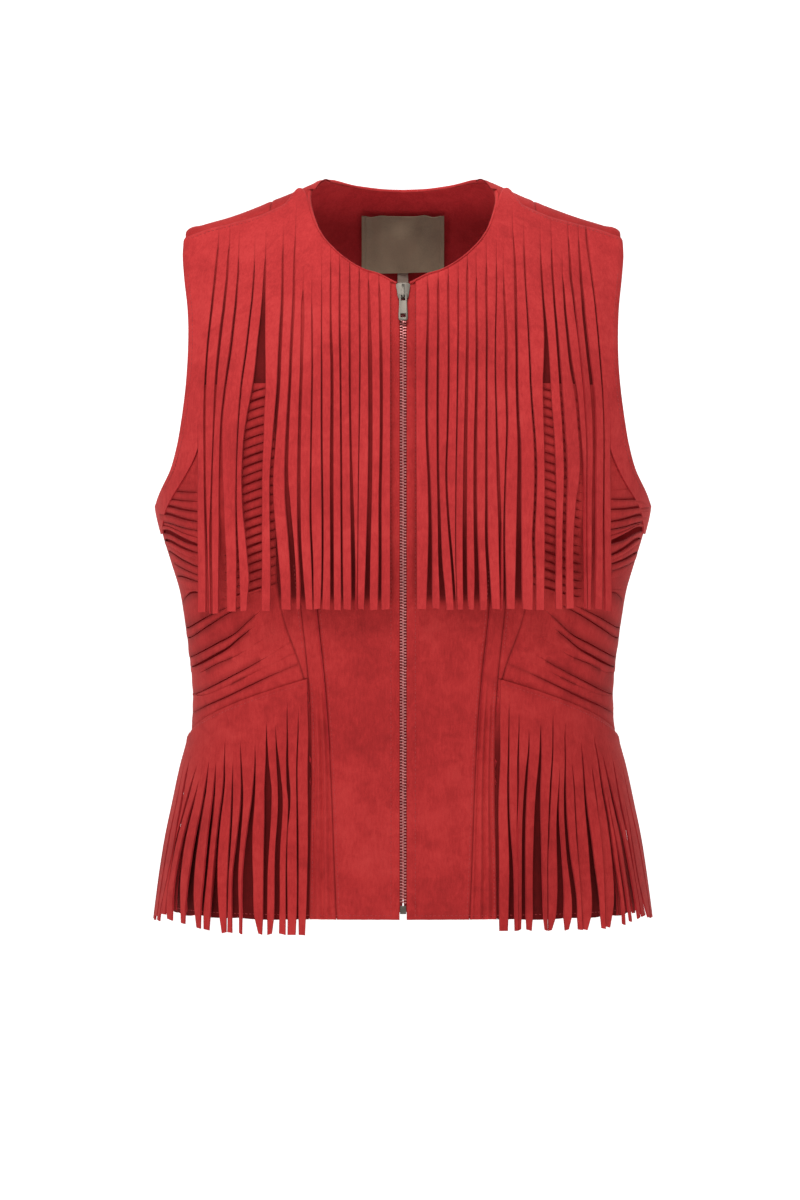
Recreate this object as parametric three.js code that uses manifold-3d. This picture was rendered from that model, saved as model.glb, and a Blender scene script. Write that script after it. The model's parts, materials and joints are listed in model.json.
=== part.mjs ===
// Sleeveless suede zip vest with a fringed yoke over the chest and a fringed peplum over each hip.
// It keeps the hollow, filled-out form that it has when worn. Millimetres, +Z up, the front looks along -Y,
// +X is the side at the viewer's right. The origin lies midway between the two high points of the shoulders.
//
// Every cloth piece is a wall laid out on one garment surface. A station on that surface is (th, t):
//   th  angle round the body, 0 at the centre line, 90 degrees at the side seam
//   t   signed reach below the shoulder ridge, negative on the front and positive on the back,
//       so that the drop below the ridge is DROP * t * t
// Panels share the stations of one grid, so seams match, and what lies on a panel is made from its points, moved out.
import * as THREE from 'three';

// ---- driving dimensions, mm ------------------------------------------------------------------------------------
const WALL = 1.6;              // suede thickness
const SEAM_GAP = 0.3;          // gap left between two pieces at a seam
const LIFT_ON = 0.3;           // gap between a panel and what lies on it
const DROP = 110;              // scale of t
const FRONT_ROUND = 150;       // drop over which the front rounds over to the shoulder
const BACK_ROUND = 110;        // the same for the back
const RIDGE_SOFT = 0.6;        // reach in t over which the front turns round the ridge
const RIDGE_SLOPE = 0.85;
const TOP_HALF_WIDTH = 197;    // half width of the surface from the armpit up
const Z_HEM = -575;            // hem of the body
const Z_FRINGE_END = -587;     // ends of the hip fringe
const Z_CHEST_FRINGE_END = -336.5;
const Z_PLUMB = -256;          // below this height the chest fringe hangs straight down from the bust
const Z_SLASH_TOP = -160;      // upper edge of the slashed side panel
const NECK_CORNER_X = 76.4;    // where the neckline meets the shoulder seam
const LABEL = { halfWidth: 35, top: -11, bottom: -58.6, thick: 1.2 };
const SIZE_TAB = { halfWidth: 4.8, top: -60, bottom: -69.5, thick: 0.6 };
const ZIP = { edge: 2.7, toothHalf: 2.55, tapeHalf: 20, top: -91, bottom: -563 };
const PULL = { length: 22.8, halfTop: 3.2, halfEnd: 3.65, thick: 1.2, hinge: { s: -4.6, n: 3.4 } };
const SLIDER_Z = -88.6;

// Half width of the body at each height.
const HALF_WIDTH = [
  { z: -600, w: 187 }, { z: -582, w: 185 }, { z: -540, w: 181 }, { z: -500, w: 176.5 }, { z: -450, w: 172 },
  { z: -430, w: 169 }, { z: -400, w: 168 }, { z: -370, w: 171 }, { z: -340, w: 175 }, { z: -320, w: 178.5 },
  { z: -300, w: 184.5 }, { z: -275, w: 192 }, { z: -253, w: TOP_HALF_WIDTH }, { z: -240, w: TOP_HALF_WIDTH },
  { z: 40, w: TOP_HALF_WIDTH },
];
// Depth of the front and of the back from the plane of the side seams.
const FRONT_DEPTH = [
  { z: -600, y: 107 }, { z: -582, y: 106 }, { z: -530, y: 101 }, { z: -460, y: 97 }, { z: -400, y: 96 },
  { z: -330, y: 103 }, { z: -260, y: 111 }, { z: -200, y: 110 }, { z: -130, y: 104 }, { z: -74, y: 98 }, { z: 40, y: 92 },
];
const BACK_DEPTH = [
  { z: -600, y: 109 }, { z: -582, y: 108 }, { z: -520, y: 99 }, { z: -460, y: 88 }, { z: -400, y: 78 },
  { z: -340, y: 81 }, { z: -300, y: 89 }, { z: -200, y: 103 }, { z: -130, y: 104 }, { z: -60, y: 98 }, { z: 40, y: 85 },
];
// Height of the shoulder ridge at each distance from the centre.
const SHOULDER_RIDGE = [
  { x: 0, z: 22 }, { x: 25, z: 19 }, { x: 50, z: 13 }, { x: 68.8, z: 6.4 }, { x: 90.4, z: -3.2 }, { x: 113.6, z: -12.8 },
  { x: 140, z: -22.4 }, { x: 160, z: -28.2 }, { x: 172.8, z: -32.5 }, { x: 176.8, z: -37.6 }, { x: 197, z: -60 },
];
// Front neckline, then the shoulder seam, which lies a little forward of the ridge.
const FRONT_TOP = [
  { x: 0, z: -83.8 }, { x: 4.8, z: -82.6 }, { x: 10.8, z: -79.4 }, { x: 18.2, z: -75.4 }, { x: 30.1, z: -71.4 },
  { x: 42.1, z: -64.3 }, { x: 54.2, z: -53.7 }, { x: 63.4, z: -42.3 }, { x: 71.3, z: -25.7 }, { x: NECK_CORNER_X, z: -6.8 },
  { x: 95.7, z: -14.9 }, { x: 113.4, z: -22.6 }, { x: 135.4, z: -28.5 }, { x: 156.5, z: -33.5 }, { x: 174, z: -39.5 },
  { x: 178, z: -41 },
];
// Back neckline up to the ridge.
const BACK_NECK = [
  { x: 0, z: 5.2 }, { x: 17, z: 5.6 }, { x: 35, z: 7 }, { x: 52, z: 8.6 }, { x: 62, z: 8.2 }, { x: 68.8, z: 6.2 },
];
// Outer edge of the front above the armpit, and of the back.
const ARMHOLE = [
  { z: -253, front: 197, back: 197 }, { z: -244, front: 192.5, back: 193.5 }, { z: -226, front: 182.5, back: 186 },
  { z: -207, front: 176.5, back: 180.5 }, { z: -188.6, front: 173.1, back: 176.5 }, { z: -160, front: 169.4, back: 173 },
  { z: -130, front: 168, back: 171 }, { z: -100, front: 169.2, back: 170.8 }, { z: -72.9, front: 172.7, back: 172.8 },
  { z: -52.7, front: 174.6, back: 174.4 }, { z: -38, front: 174, back: 174 }, { z: 0, front: 174, back: 174 },
];

// Rows of the grid, from the hem up to 100 mm below the origin. front: height at the centre and as far out as the
// side panels; side: height at the side seam or armhole. The waist seam falls 45 mm towards the side.
const ROWS = [
  { name: 'hem', front: Z_HEM, side: Z_HEM }, { front: -538, side: -541 }, { front: -501, side: -507 }, { front: -464, side: -472 },
  { front: -427, side: -453 },
  { name: 'waist', front: -389, side: -434 }, { front: -363, side: -403 },
  { name: 'fringe_end', front: Z_CHEST_FRINGE_END, side: -371 }, { front: -314, side: -336 }, { front: -291, side: -303 },
  { name: 'border_end', front: -269, side: -275 },
  { name: 'armpit', front: -252, side: -253 }, { front: -243, side: -244 }, { front: -226, side: -226 },
  { name: 'border_turn', front: -208, side: -207 }, { front: -185, side: -185 },
  { name: 'slash_top', front: Z_SLASH_TOP, side: Z_SLASH_TOP }, { front: -130, side: -130 }, { name: 'yoke', front: -100, side: -100 },
];
const TOP_ROWS = 6;            // rows between 'yoke' and the neckline or shoulder seam

// Columns of the front half, as distance from the centre at named heights. Seams: princess between front_centre and
// front_strip, strip between front_strip and its neighbours, slash along the inner edge of the slashed side panel.
// Columns past 'slash' divide the rest up to the side seam or armhole, by the share of the angle that is left.
const FRONT_COLUMNS = [
  { name: 'edge', top: 2.7, yoke: 2.7, bust: 2.7, under: 2.7, waist: 2.7, hem: 2.7 },
  { name: 'fringe_start', top: 6, yoke: 6, bust: 6, under: 6, waist: 6, hem: 6 },
  { name: 'tape', top: 20, yoke: 20, bust: 20, under: 20, waist: 20, hem: 20 },
  { top: 36, yoke: 36, bust: 36, under: 35, waist: 33, hem: 30 },
  { top: 52, yoke: 52, bust: 52, under: 50, waist: 46, hem: 41 },
  { top: 63.4, yoke: 63, bust: 63, under: 60, waist: 54, hem: 46.5 },
  { name: 'princess', top: 71.3, yoke: 72, bust: 71, under: 66.5, waist: 61, hem: 51.4 },
  { name: 'neck_corner', top: NECK_CORNER_X, yoke: 80, bust: 79, under: 73, waist: 67, hem: 62 },
  { name: 'strip', top: 90, yoke: 89, bust: 86, under: 79, waist: 73.7, hem: 72.7 },
  { name: 'slash', top: 106, yoke: 101, bust: 98, under: 94.5, waist: 77, hem: 86 },
];
const OUTER_SHARES = [
  { name: 'outer1', top: 0.25, low: 0.26 }, { name: 'outer2', top: 0.5, low: 0.5 },
  { name: 'fringe_side', top: 0.75, low: 0.74 }, { name: 'border', top: 0.88, low: 0.88 }, { name: 'side', top: 1, low: 1 },
];
// Inner edge of the armhole border: straight down beside the fringe, then along the armhole to the side seam.
const BORDER_EDGE = [
  { z: -275, th: 81 }, { z: -253, th: 69 }, { z: -232, th: 60 }, { z: -208, th: 54.2 }, { z: -185, th: 53.6 },
  { z: -150, th: 53.6 }, { z: -100, th: 54.4 }, { z: -40, th: 55 },
];
// Outermost strip of the chest fringe.
const FRINGE_SIDE_X = [
  { z: -336.5, x: 154 }, { z: -250, x: 153 }, { z: -208, x: 153.2 }, { z: -130, x: 154 }, { z: -60, x: 155.5 }, { z: -30, x: 156.5 },
];
// Seam between the centre back and the side backs.
const BACK_SEAM_X = [
  { z: -575, x: 86 }, { z: -500, x: 72 }, { z: -420, x: 62 }, { z: -330, x: 72 }, { z: -200, x: 90 }, { z: -120, x: 97 },
  { z: -60, x: 104 }, { z: 0, x: 106 },
];
// How far the hip fringe stands off the panel under it, at the side.
const HIP_LIFT = [
  { z: -600, y: 12.4 }, { z: -575, y: 12 }, { z: -540, y: 10.6 }, { z: -515, y: 9.4 }, { z: -485, y: 6.4 }, { z: -460, y: 3.2 },
  { z: -445, y: 1 }, { z: -434, y: 0.3 },
];

// ---- the garment surface ---------------------------------------------------------------------------------------
const RAD = Math.PI / 180;

function curve(rows, from, to) {
  const x = rows.map((r) => r[from]), y = rows.map((r) => r[to]), n = x.length;
  const m = y.map((_, i) => {
    if (i === 0) return (y[1] - y[0]) / (x[1] - x[0]);
    if (i === n - 1) return (y[n - 1] - y[n - 2]) / (x[n - 1] - x[n - 2]);
    const h0 = x[i] - x[i - 1], h1 = x[i + 1] - x[i];
    return (((y[i] - y[i - 1]) / h0) * h1 + ((y[i + 1] - y[i]) / h1) * h0) / (h0 + h1);
  });
  return (v) => {
    if (v <= x[0]) return y[0];
    if (v >= x[n - 1]) return y[n - 1];
    let k = 0;
    while (x[k + 1] < v) k += 1;
    const h = x[k + 1] - x[k], s = (v - x[k]) / h;
    return (2 * s ** 3 - 3 * s * s + 1) * y[k] + (s ** 3 - 2 * s * s + s) * h * m[k]
      + (-2 * s ** 3 + 3 * s * s) * y[k + 1] + (s ** 3 - s * s) * h * m[k + 1];
  };
}

const halfWidth = curve(HALF_WIDTH, 'z', 'w');
const frontDepth = curve(FRONT_DEPTH, 'z', 'y');
const backDepth = curve(BACK_DEPTH, 'z', 'y');
const ridgeAt = curve(SHOULDER_RIDGE, 'x', 'z');
const frontTopAt = curve(FRONT_TOP, 'x', 'z');
const backNeckAt = curve(BACK_NECK, 'x', 'z');
const armholeFront = curve([...ARMHOLE], 'z', 'front');
const armholeBack = curve([...ARMHOLE], 'z', 'back');
const borderTh = curve(BORDER_EDGE, 'z', 'th');
const fringeSideX = curve(FRINGE_SIDE_X, 'z', 'x');
const backSeamX = curve(BACK_SEAM_X, 'z', 'x');
const hipLift = curve(HIP_LIFT, 'z', 'y');

const ridgeOf = (th) => ridgeAt(TOP_HALF_WIDTH * Math.abs(Math.sin(th)));

function surface(th, t) {
  const z = ridgeOf(th) - DROP * t * t;
  const x = halfWidth(z) * Math.sin(th);
  const c = Math.cos(th) * (1 + 0.25 * Math.sin(th) ** 2);
  const x0 = TOP_HALF_WIDTH * Math.abs(Math.sin(th));
  const round = t < 0 ? FRONT_ROUND : BACK_ROUND;
  const p = t < 0 ? 1.5 : 2.2 - 0.6 * Math.min(1, Math.max(0, (x0 - 60) / 117));
  const s = Math.min((DROP * t * t) / round, 1);
  let g = (1 - (1 - s) ** p) ** (1 / p);
  if (t < 0 && t > -RIDGE_SOFT) {
    // Rounds the front over the ridge.
    const w = -t / RIDGE_SOFT, mix = w * w * (3 - 2 * w);
    g = mix * g + (1 - mix) * RIDGE_SLOPE * -t;
  }
  return new THREE.Vector3(x, (t < 0 ? -frontDepth(z) : backDepth(z)) * c * g, z);
}
const D = 0.003;
function alongTh(th, t) { return surface(th + D, t).sub(surface(th - D, t)).divideScalar(2 * D); }
function alongT(th, t) { return surface(th, t + D).sub(surface(th, t - D)).divideScalar(2 * D); }
function normal(th, t) { return alongTh(th, t).cross(alongT(th, t)).normalize(); }
const dropT = (th, z) => Math.sqrt(Math.max(0, ridgeOf(th) - z) / DROP);
const thOf = (x, z) => Math.asin(Math.max(-1, Math.min(1, x / halfWidth(z))));

// ---- stations of the front and back grids ----------------------------------------------------------------------
const rowIndex = (name) => ROWS.findIndex((r) => r.name === name);
const TOP = ROWS.length - 1 + TOP_ROWS;
const LEVELS = [[Z_HEM, 'hem'], [-389, 'waist'], [Z_CHEST_FRINGE_END, 'under'], [-252, 'bust'], [-100, 'yoke'], [-40, 'top']];
const columnX = FRONT_COLUMNS.map((c) => curve(LEVELS.map(([z, key]) => ({ z, x: c[key] })), 'z', 'x'));
const colIndex = (name) => {
  const k = FRONT_COLUMNS.findIndex((c) => c.name === name);
  return k >= 0 ? k : FRONT_COLUMNS.length + OUTER_SHARES.findIndex((c) => c.name === name);
};
const FRONT_COLS = FRONT_COLUMNS.length + OUTER_SHARES.length;
// Height of a row at a given angle: level as far as the strip, then falling evenly to the side.
const rowZ = (row, th) => row.front + (row.side - row.front) * Math.max(0, Math.min(1, (th / RAD - 26) / 58));

function frontStation(i, j) {
  const row = ROWS[Math.min(j, ROWS.length - 1)];
  const above = Math.max(0, j - (ROWS.length - 1)) / TOP_ROWS;
  const place = (z) => {
    const edge = row.side <= -253 ? Math.PI / 2 : thOf(armholeFront(above ? -100 + 62 * above : row.side), z);
    const last = FRONT_COLUMNS.length - 1;
    if (i <= last) {
      const atTop = FRONT_COLUMNS[i].top, atYoke = FRONT_COLUMNS[i].yoke;
      return thOf(above ? atYoke + (atTop - atYoke) * above : columnX[i](z), z);
    }
    const inner = thOf(above ? FRONT_COLUMNS[last].yoke + (FRONT_COLUMNS[last].top - FRONT_COLUMNS[last].yoke) * above : columnX[last](z), z);
    const spec = OUTER_SHARES[i - last - 1];
    const share = spec.low + (spec.top - spec.low) * above;
    if (spec.name === 'fringe_side' && z > -345) {
      const own = inner + (edge - inner) * share;
      const mix = Math.min(1, (z + 345) / 8);
      return own + (thOf(fringeSideX(z), z) - own) * mix;
    }
    if (spec.name === 'border') {
      const own = inner + (edge - inner) * share;
      if (z < -300) return own;
      const inside = thOf(fringeSideX(z), z);
      const target = z > -206 ? (inside + edge) / 2 : borderTh(z) * RAD;
      const mix = Math.min(1, (z + 300) / 25);
      return own + (target - own) * mix;
    }
    if (spec.name !== 'side' && above === 0 && z > -345) {
      const outer = thOf(fringeSideX(z), z);
      const own = inner + (edge - inner) * share;
      const even = inner + (outer - inner) * (spec.name === 'outer1' ? 0.34 : 0.67);
      return own + (even - own) * Math.min(1, (z + 345) / 8);
    }
    if (spec.name !== 'side' && above > 0) {
      const outer = thOf(fringeSideX(z), z);
      return inner + (outer - inner) * (spec.name === 'outer1' ? 0.34 : 0.67);
    }
    return inner + (edge - inner) * share;
  };
  let z = row.front, th = place(z);
  for (let k = 0; k < 12; k += 1) { z = rowZ(row, th); th = place(z); }
  if (i === FRONT_COLS - 1 && above === 0) { z = row.side; th = row.side <= -253 ? Math.PI / 2 : thOf(armholeFront(z), z); }
  let t = -dropT(th, z);
  if (above > 0) {
    const low = -dropT(th, -100), high = -dropT(th, frontTopAt(TOP_HALF_WIDTH * Math.sin(th)));
    t = low + (high - low) * above;
  }
  return [th, t];
}

const BACK_TOP_X = [0, 17.5, 35, 54, 69.5, NECK_CORNER_X, 90, 106];
const BACK_COLS = BACK_TOP_X.length + OUTER_SHARES.length;
const BACK_SEAM = BACK_TOP_X.length - 1;
function backStation(i, j) {
  const k = Math.abs(i), sign = i < 0 ? -1 : 1;
  const row = ROWS[Math.min(j, ROWS.length - 1)];
  const above = Math.max(0, j - (ROWS.length - 1)) / TOP_ROWS;
  const z = row.side;
  const edge = row.side <= -253 ? Math.PI / 2 : thOf(armholeBack(above ? -100 + 62 * above : z), z);
  const seam = thOf(above ? backSeamX(-100) + (BACK_TOP_X[BACK_SEAM] - backSeamX(-100)) * above : backSeamX(z), z);
  let th;
  if (k <= BACK_SEAM) {
    const scale = above ? above : 0;
    const own = thOf(BACK_TOP_X[k], -40), low = seam * (BACK_TOP_X[k] / BACK_TOP_X[BACK_SEAM]);
    th = k === BACK_SEAM ? seam : low + (own - low) * scale;
  } else {
    const spec = OUTER_SHARES[k - BACK_SEAM - 1];
    th = seam + (edge - seam) * (spec.low + (spec.top - spec.low) * above);
    if (above > 0 && spec.name !== 'side') {
      // The top row meets the stations of the front along the shoulder seam.
      const own = frontStation(FRONT_COLUMNS.length + (k - BACK_SEAM - 1), TOP)[0];
      th += (own - th) * above;
    }
  }
  let t = dropT(th, z);
  if (above > 0) {
    const x = TOP_HALF_WIDTH * Math.sin(th);
    const high = x <= 69.6 ? dropT(th, backNeckAt(x)) : -dropT(th, frontTopAt(Math.max(x, NECK_CORNER_X)));
    const low = dropT(th, -100);
    t = low + (high - low) * above;
  }
  return [sign * th, t];
}

// ---- walls -----------------------------------------------------------------------------------------------------
// A wall between the lifts lo and hi over the given cells of a grid. cells: list of [i, j], the lower inner corner
// of each cell. Edges with no neighbour in the piece draw back by half the seam gap. rows is -1 on the back, where t
// falls from row to row.
function wall(cells, station, lo, hi, options = {}) {
  const has = new Set(cells.map(([i, j]) => `${i},${j}`));
  const here = (i, j) => (has.has(`${i},${j}`) ? 1 : 0);
  const corners = new Map();
  const points = [];
  const point = (i, j) => {
    const key = `${i},${j}`;
    if (corners.has(key)) return corners.get(key);
    let [th, t] = station(i, j);
    const a = here(i, j), b = here(i - 1, j), c = here(i, j - 1), d = here(i - 1, j - 1);
    const dx = Math.sign(a + c - b - d), dz = Math.sign(a + b - c - d);
    const gap = options.gap ?? SEAM_GAP / 2;
    const thStep = gap / alongTh(th, t).length(), tStep = gap / Math.max(1, alongT(th, t).length());
    th += dx * thStep;
    t += dz * tStep * (options.rows ?? 1);
    const base = surface(th, t), n = normal(th, t);
    const where = (lift) => (options.place ? options.place(base, n, lift, th, t) : base.clone().addScaledVector(n, lift));
    const value = (v) => (typeof v === 'function' ? v(th, t, base) : v);
    points.push(where(value(lo)), where(value(hi)));
    corners.set(key, points.length - 2);
    return points.length - 2;
  };
  const faces = [];
  const rim = (p, q) => faces.push([p, q, q + 1], [p, q + 1, p + 1]);
  for (const [i, j] of cells) {
    const a = point(i, j), b = point(i + 1, j), c = point(i + 1, j + 1), d = point(i, j + 1);
    // Each cell is folded along its shorter diagonal, the same one in every piece laid on it.
    const at = (u, v) => surface(...station(u, v));
    if (at(i, j).distanceTo(at(i + 1, j + 1)) <= at(i + 1, j).distanceTo(at(i, j + 1))) {
      faces.push([a + 1, b + 1, c + 1], [a + 1, c + 1, d + 1], [a, c, b], [a, d, c]);
    } else {
      faces.push([a + 1, b + 1, d + 1], [b + 1, c + 1, d + 1], [a, d, b], [b, d, c]);
    }
    if (!here(i, j - 1)) rim(a, b);
    if (!here(i + 1, j)) rim(b, c);
    if (!here(i, j + 1)) rim(c, d);
    if (!here(i - 1, j)) rim(d, a);
  }
  return { points, faces };
}
// The back grid runs the other way up (t grows downwards there), so its stations are turned to face out.
function block(i0, i1, j0, j1, skip) {
  const cells = [];
  for (let i = i0; i < i1; i += 1) for (let j = j0; j < j1; j += 1) if (!skip || !skip(i, j)) cells.push([i, j]);
  return cells;
}
function geometryOf({ points, faces }, mirror = false, flip = false) {
  const g = new THREE.BufferGeometry();
  const pos = new Float32Array(points.length * 3);
  points.forEach((p, k) => pos.set([mirror ? -p.x : p.x, p.y, p.z], k * 3));
  g.setAttribute('position', new THREE.BufferAttribute(pos, 3));
  const turn = mirror !== flip;
  g.setIndex(faces.flatMap(([a, b, c]) => (turn ? [a, c, b] : [a, b, c])));
  g.computeVertexNormals();
  return g;
}

const suede = (shade = 0xb23135) => new THREE.MeshStandardMaterial({ color: shade, roughness: 0.92, metalness: 0 });
const metal = () => new THREE.MeshStandardMaterial({ color: 0xb9b3b0, roughness: 0.35, metalness: 1 });
const tapeCloth = () => new THREE.MeshStandardMaterial({ color: 0x9c3136, roughness: 0.95, metalness: 0 });
const labelSkin = () => new THREE.MeshStandardMaterial({ color: 0x8a7660, roughness: 0.7, metalness: 0 });

const group = new THREE.Group();
function add(name, geometry, material) {
  const mesh = new THREE.Mesh(geometry, material);
  mesh.name = name;
  group.add(mesh);
  return mesh;
}

const C = colIndex, R = rowIndex;
const both = (name, build, material) => {
  add(`${name}_R`, geometryOf(build()), material());
  add(`${name}_L`, geometryOf(build(), true), material());
};

// ---- front panels ----------------------------------------------------------------------------------------------
both('front_centre', () => wall(block(C('edge'), C('princess'), 0, TOP), frontStation, -WALL, 0), suede);
both('front_strip', () => wall(block(C('princess'), C('strip'), 0, TOP), frontStation, -WALL, 0), suede);
both('front_bust', () => wall([
  ...block(C('strip'), C('slash'), R('waist'), TOP),
  ...block(C('slash'), C('side'), R('slash_top'), TOP),
], frontStation, -WALL, 0), suede);
both('side_front', () => wall(block(C('slash'), C('side'), R('waist'), R('slash_top')), frontStation, -WALL, 0), suede);
both('hip_under', () => wall(block(C('strip'), C('side'), 0, R('waist')), frontStation, -WALL, 0), suede);

// ---- back panels: the grid of the back, wrapped over the shoulder to the forward seam --------------------------
add('back_centre', geometryOf(wall(block(-BACK_SEAM, BACK_SEAM, 0, TOP), backStation, -WALL, 0, { rows: -1 }), false, true), suede());
const sideBack = () => wall(block(BACK_SEAM, BACK_COLS - 1, 0, TOP), backStation, -WALL, 0, { rows: -1 });
add('back_side_R', geometryOf(sideBack(), false, true), suede());
add('back_side_L', geometryOf(sideBack(), true, true), suede());

// ---- chest overlay: yoke, armhole border and the reach of the fringe -------------------------------------------
// Below the bust the fringe hangs straight down, clear of the panels that draw in to the waist.
function plumb(base, n, lift, th, t) {
  if (t > 0 || base.z > Z_PLUMB || th > 68 * RAD) return base.clone().addScaledVector(n, lift);
  let a = th;
  for (let k = 0; k < 8; k += 1) a = thOf(base.x, Z_PLUMB);
  const from = surface(a, -dropT(a, Z_PLUMB)), m = normal(a, -dropT(a, Z_PLUMB));
  const p = from.addScaledVector(new THREE.Vector3(m.x, m.y, 0).normalize(), lift);
  p.z = base.z;
  return p;
}
function overlayStation(i, j) {
  if (j >= R('armpit') || i > C('fringe_side')) return frontStation(i, j);
  const z = ROWS[j].front, last = C('slash');
  const inner = columnX[Math.min(i, last)](z), share = (i - last) / 3;
  const th = thOf(i > last ? inner + (fringeSideX(z) - inner) * share : inner, z);
  return [th, -dropT(th, z)];
}
both('chest_overlay', () => wall([
  ...block(C('fringe_start'), C('fringe_side'), R('fringe_end'), TOP),
  ...block(C('fringe_side'), C('border'), R('border_turn'), TOP),
  ...block(C('border'), C('side'), R('border_end'), TOP),
], overlayStation, LIFT_ON, LIFT_ON + WALL, { place: plumb }), suede);

// ---- hip fringe: plain top below the waist seam, then the reach of the strips ----------------------------------
const standOff = (th, t, base) => {
  const share = Math.max(0, Math.min(1, (th / RAD - 27) / 60));
  return LIFT_ON + hipLift(base.z) * (0.22 + 0.78 * share * share * (3 - 2 * share));
};
function hipStation(i, j) {
  const [th, t] = frontStation(i, j);
  if (j > 0) return [th, t];
  return [th, -dropT(th, Z_FRINGE_END)];
}
both('hip_fringe', () => wall(block(C('strip'), C('side'), 0, R('waist')), hipStation,
  (th, t, base) => standOff(th, t, base), (th, t, base) => standOff(th, t, base) + WALL), suede);

// ---- zip -------------------------------------------------------------------------------------------------------
// Tapes lie inside the front edges; the rows of teeth close between the edges and are shown as plain strips.
const zipRow = (j) => ROWS[Math.min(j, ROWS.length - 1)].front;
function tapeStation(i, j) {
  const z = j === 0 ? ZIP.bottom - 6 : j === ROWS.length ? ZIP.top : zipRow(j);
  const x = [0, ZIP.edge, 6, ZIP.tapeHalf][i];
  const th = thOf(x, z);
  return [th, -dropT(th, z)];
}
both('zip_tape', () => wall(block(0, 3, 0, ROWS.length), tapeStation, -3.0, -1.9), tapeCloth);
function teethStation(i, j) {
  const z = j === 0 ? ZIP.bottom : j === ROWS.length ? ZIP.top : zipRow(j);
  const th = thOf(i ? ZIP.toothHalf + SEAM_GAP / 2 : 0, z);
  return [th, -dropT(th, z)];
}
both('zip_teeth', () => wall(block(0, 1, 0, ROWS.length), teethStation, -1.6, 0.4), metal);

// Slider, pull and stops stand in a frame on the centre line: x across, s up along the zip, n out of the cloth.
function zipFrame(z) {
  const t = -dropT(0, z), n = normal(0, t), s = alongT(0, t).normalize();
  const frame = new THREE.Group();
  frame.matrixAutoUpdate = false;
  frame.matrix.makeBasis(new THREE.Vector3(1, 0, 0), s, n).setPosition(surface(0, t));
  frame.matrix.decompose(frame.position, frame.quaternion, frame.scale);
  frame.matrixAutoUpdate = true;
  return frame;
}
function plate(outline, from, to, holes = []) {
  const shape = new THREE.Shape(outline.map(([x, y]) => new THREE.Vector2(x, y)));
  holes.forEach((h) => shape.holes.push(new THREE.Path(h.map(([x, y]) => new THREE.Vector2(x, y)))));
  const g = new THREE.ExtrudeGeometry(shape, { depth: to - from, bevelEnabled: false, curveSegments: 8 });
  g.translate(0, 0, from);
  return g;
}

const { default: Module } = await import('manifold-3d');
const { mergeVertices } = await import('three/addons/utils/BufferGeometryUtils.js');
const wasm = await Module();
wasm.setup();
function solidOf(geometry) {
  const g = geometry.clone();
  g.deleteAttribute('normal');
  g.deleteAttribute('uv');
  const m = mergeVertices(g, 1e-4);
  return new wasm.Manifold(new wasm.Mesh({
    numProp: 3, vertProperties: new Float32Array(m.attributes.position.array), triVerts: new Uint32Array(m.index.array),
  }));
}
function geometryFrom(solid) {
  const m = solid.getMesh();
  const g = new THREE.BufferGeometry();
  g.setAttribute('position', new THREE.BufferAttribute(new Float32Array(m.vertProperties), 3));
  g.setIndex(new THREE.BufferAttribute(new Uint32Array(m.triVerts), 1));
  g.computeVertexNormals();
  return g;
}

// Slider: front and back plates joined by the wedge above the closed teeth, and an arch for the pull.
const SHIELD = [
  [-3.6, -7.2], [3.6, -7.2], [4.2, -5.4], [4.7, -1], [5.4, 3.2], [5.5, 4.8], [4.6, 5.9], [2.2, 6.5], [-2.2, 6.5], [-4.6, 5.9],
  [-5.5, 4.8], [-5.4, 3.2], [-4.7, -1], [-4.2, -5.4],
];
const BACK_SHIELD = SHIELD.map(([x, s]) => [x * 0.94, s * 0.97]);
const WEDGE = [[-0.9, -1.2], [0.9, -1.2], [1.5, 3.5], [1.2, 6.0], [-1.2, 6.0], [-1.5, 3.5]];
const ARCH_OUTER = [[-7.15, 2.2], [-7.15, 4.1], [-6.4, 5.1], [-4.6, 5.4], [-2.8, 5.1], [0.6, 4.5], [3.8, 3.7], [5.7, 2.2]];
const ARCH_INNER = [[-6.1, 2.0], [-6.1, 3.7], [-5.6, 4.3], [-4.5, 4.5], [-3.2, 4.2], [-1.9, 3.2], [-1.1, 2.0]];
function archSolid() {
  // Drawn in (s, n) and stood up so that its width runs along x.
  const g = plate([...ARCH_OUTER.map(([s, n]) => [s, n]), ...[...ARCH_INNER].reverse().map(([s, n]) => [s, n])].reverse(), -1.1, 1.1);
  const basis = new THREE.Matrix4().makeBasis(new THREE.Vector3(0, 1, 0), new THREE.Vector3(0, 0, 1), new THREE.Vector3(1, 0, 0));
  g.applyMatrix4(basis);
  return solidOf(g);
}
const sliderFrame = zipFrame(SLIDER_Z);
group.add(sliderFrame);
const sliderSolid = solidOf(plate(SHIELD, 0.8, 2.4))
  .add(solidOf(plate(WEDGE, -3.6, 1.2)))
  .add(solidOf(plate(BACK_SHIELD, -4.9, -3.3)))
  .add(archSolid());
const sliderMesh = new THREE.Mesh(geometryFrom(sliderSolid), metal());
sliderMesh.name = 'zip_slider';
sliderFrame.add(sliderMesh);

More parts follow.
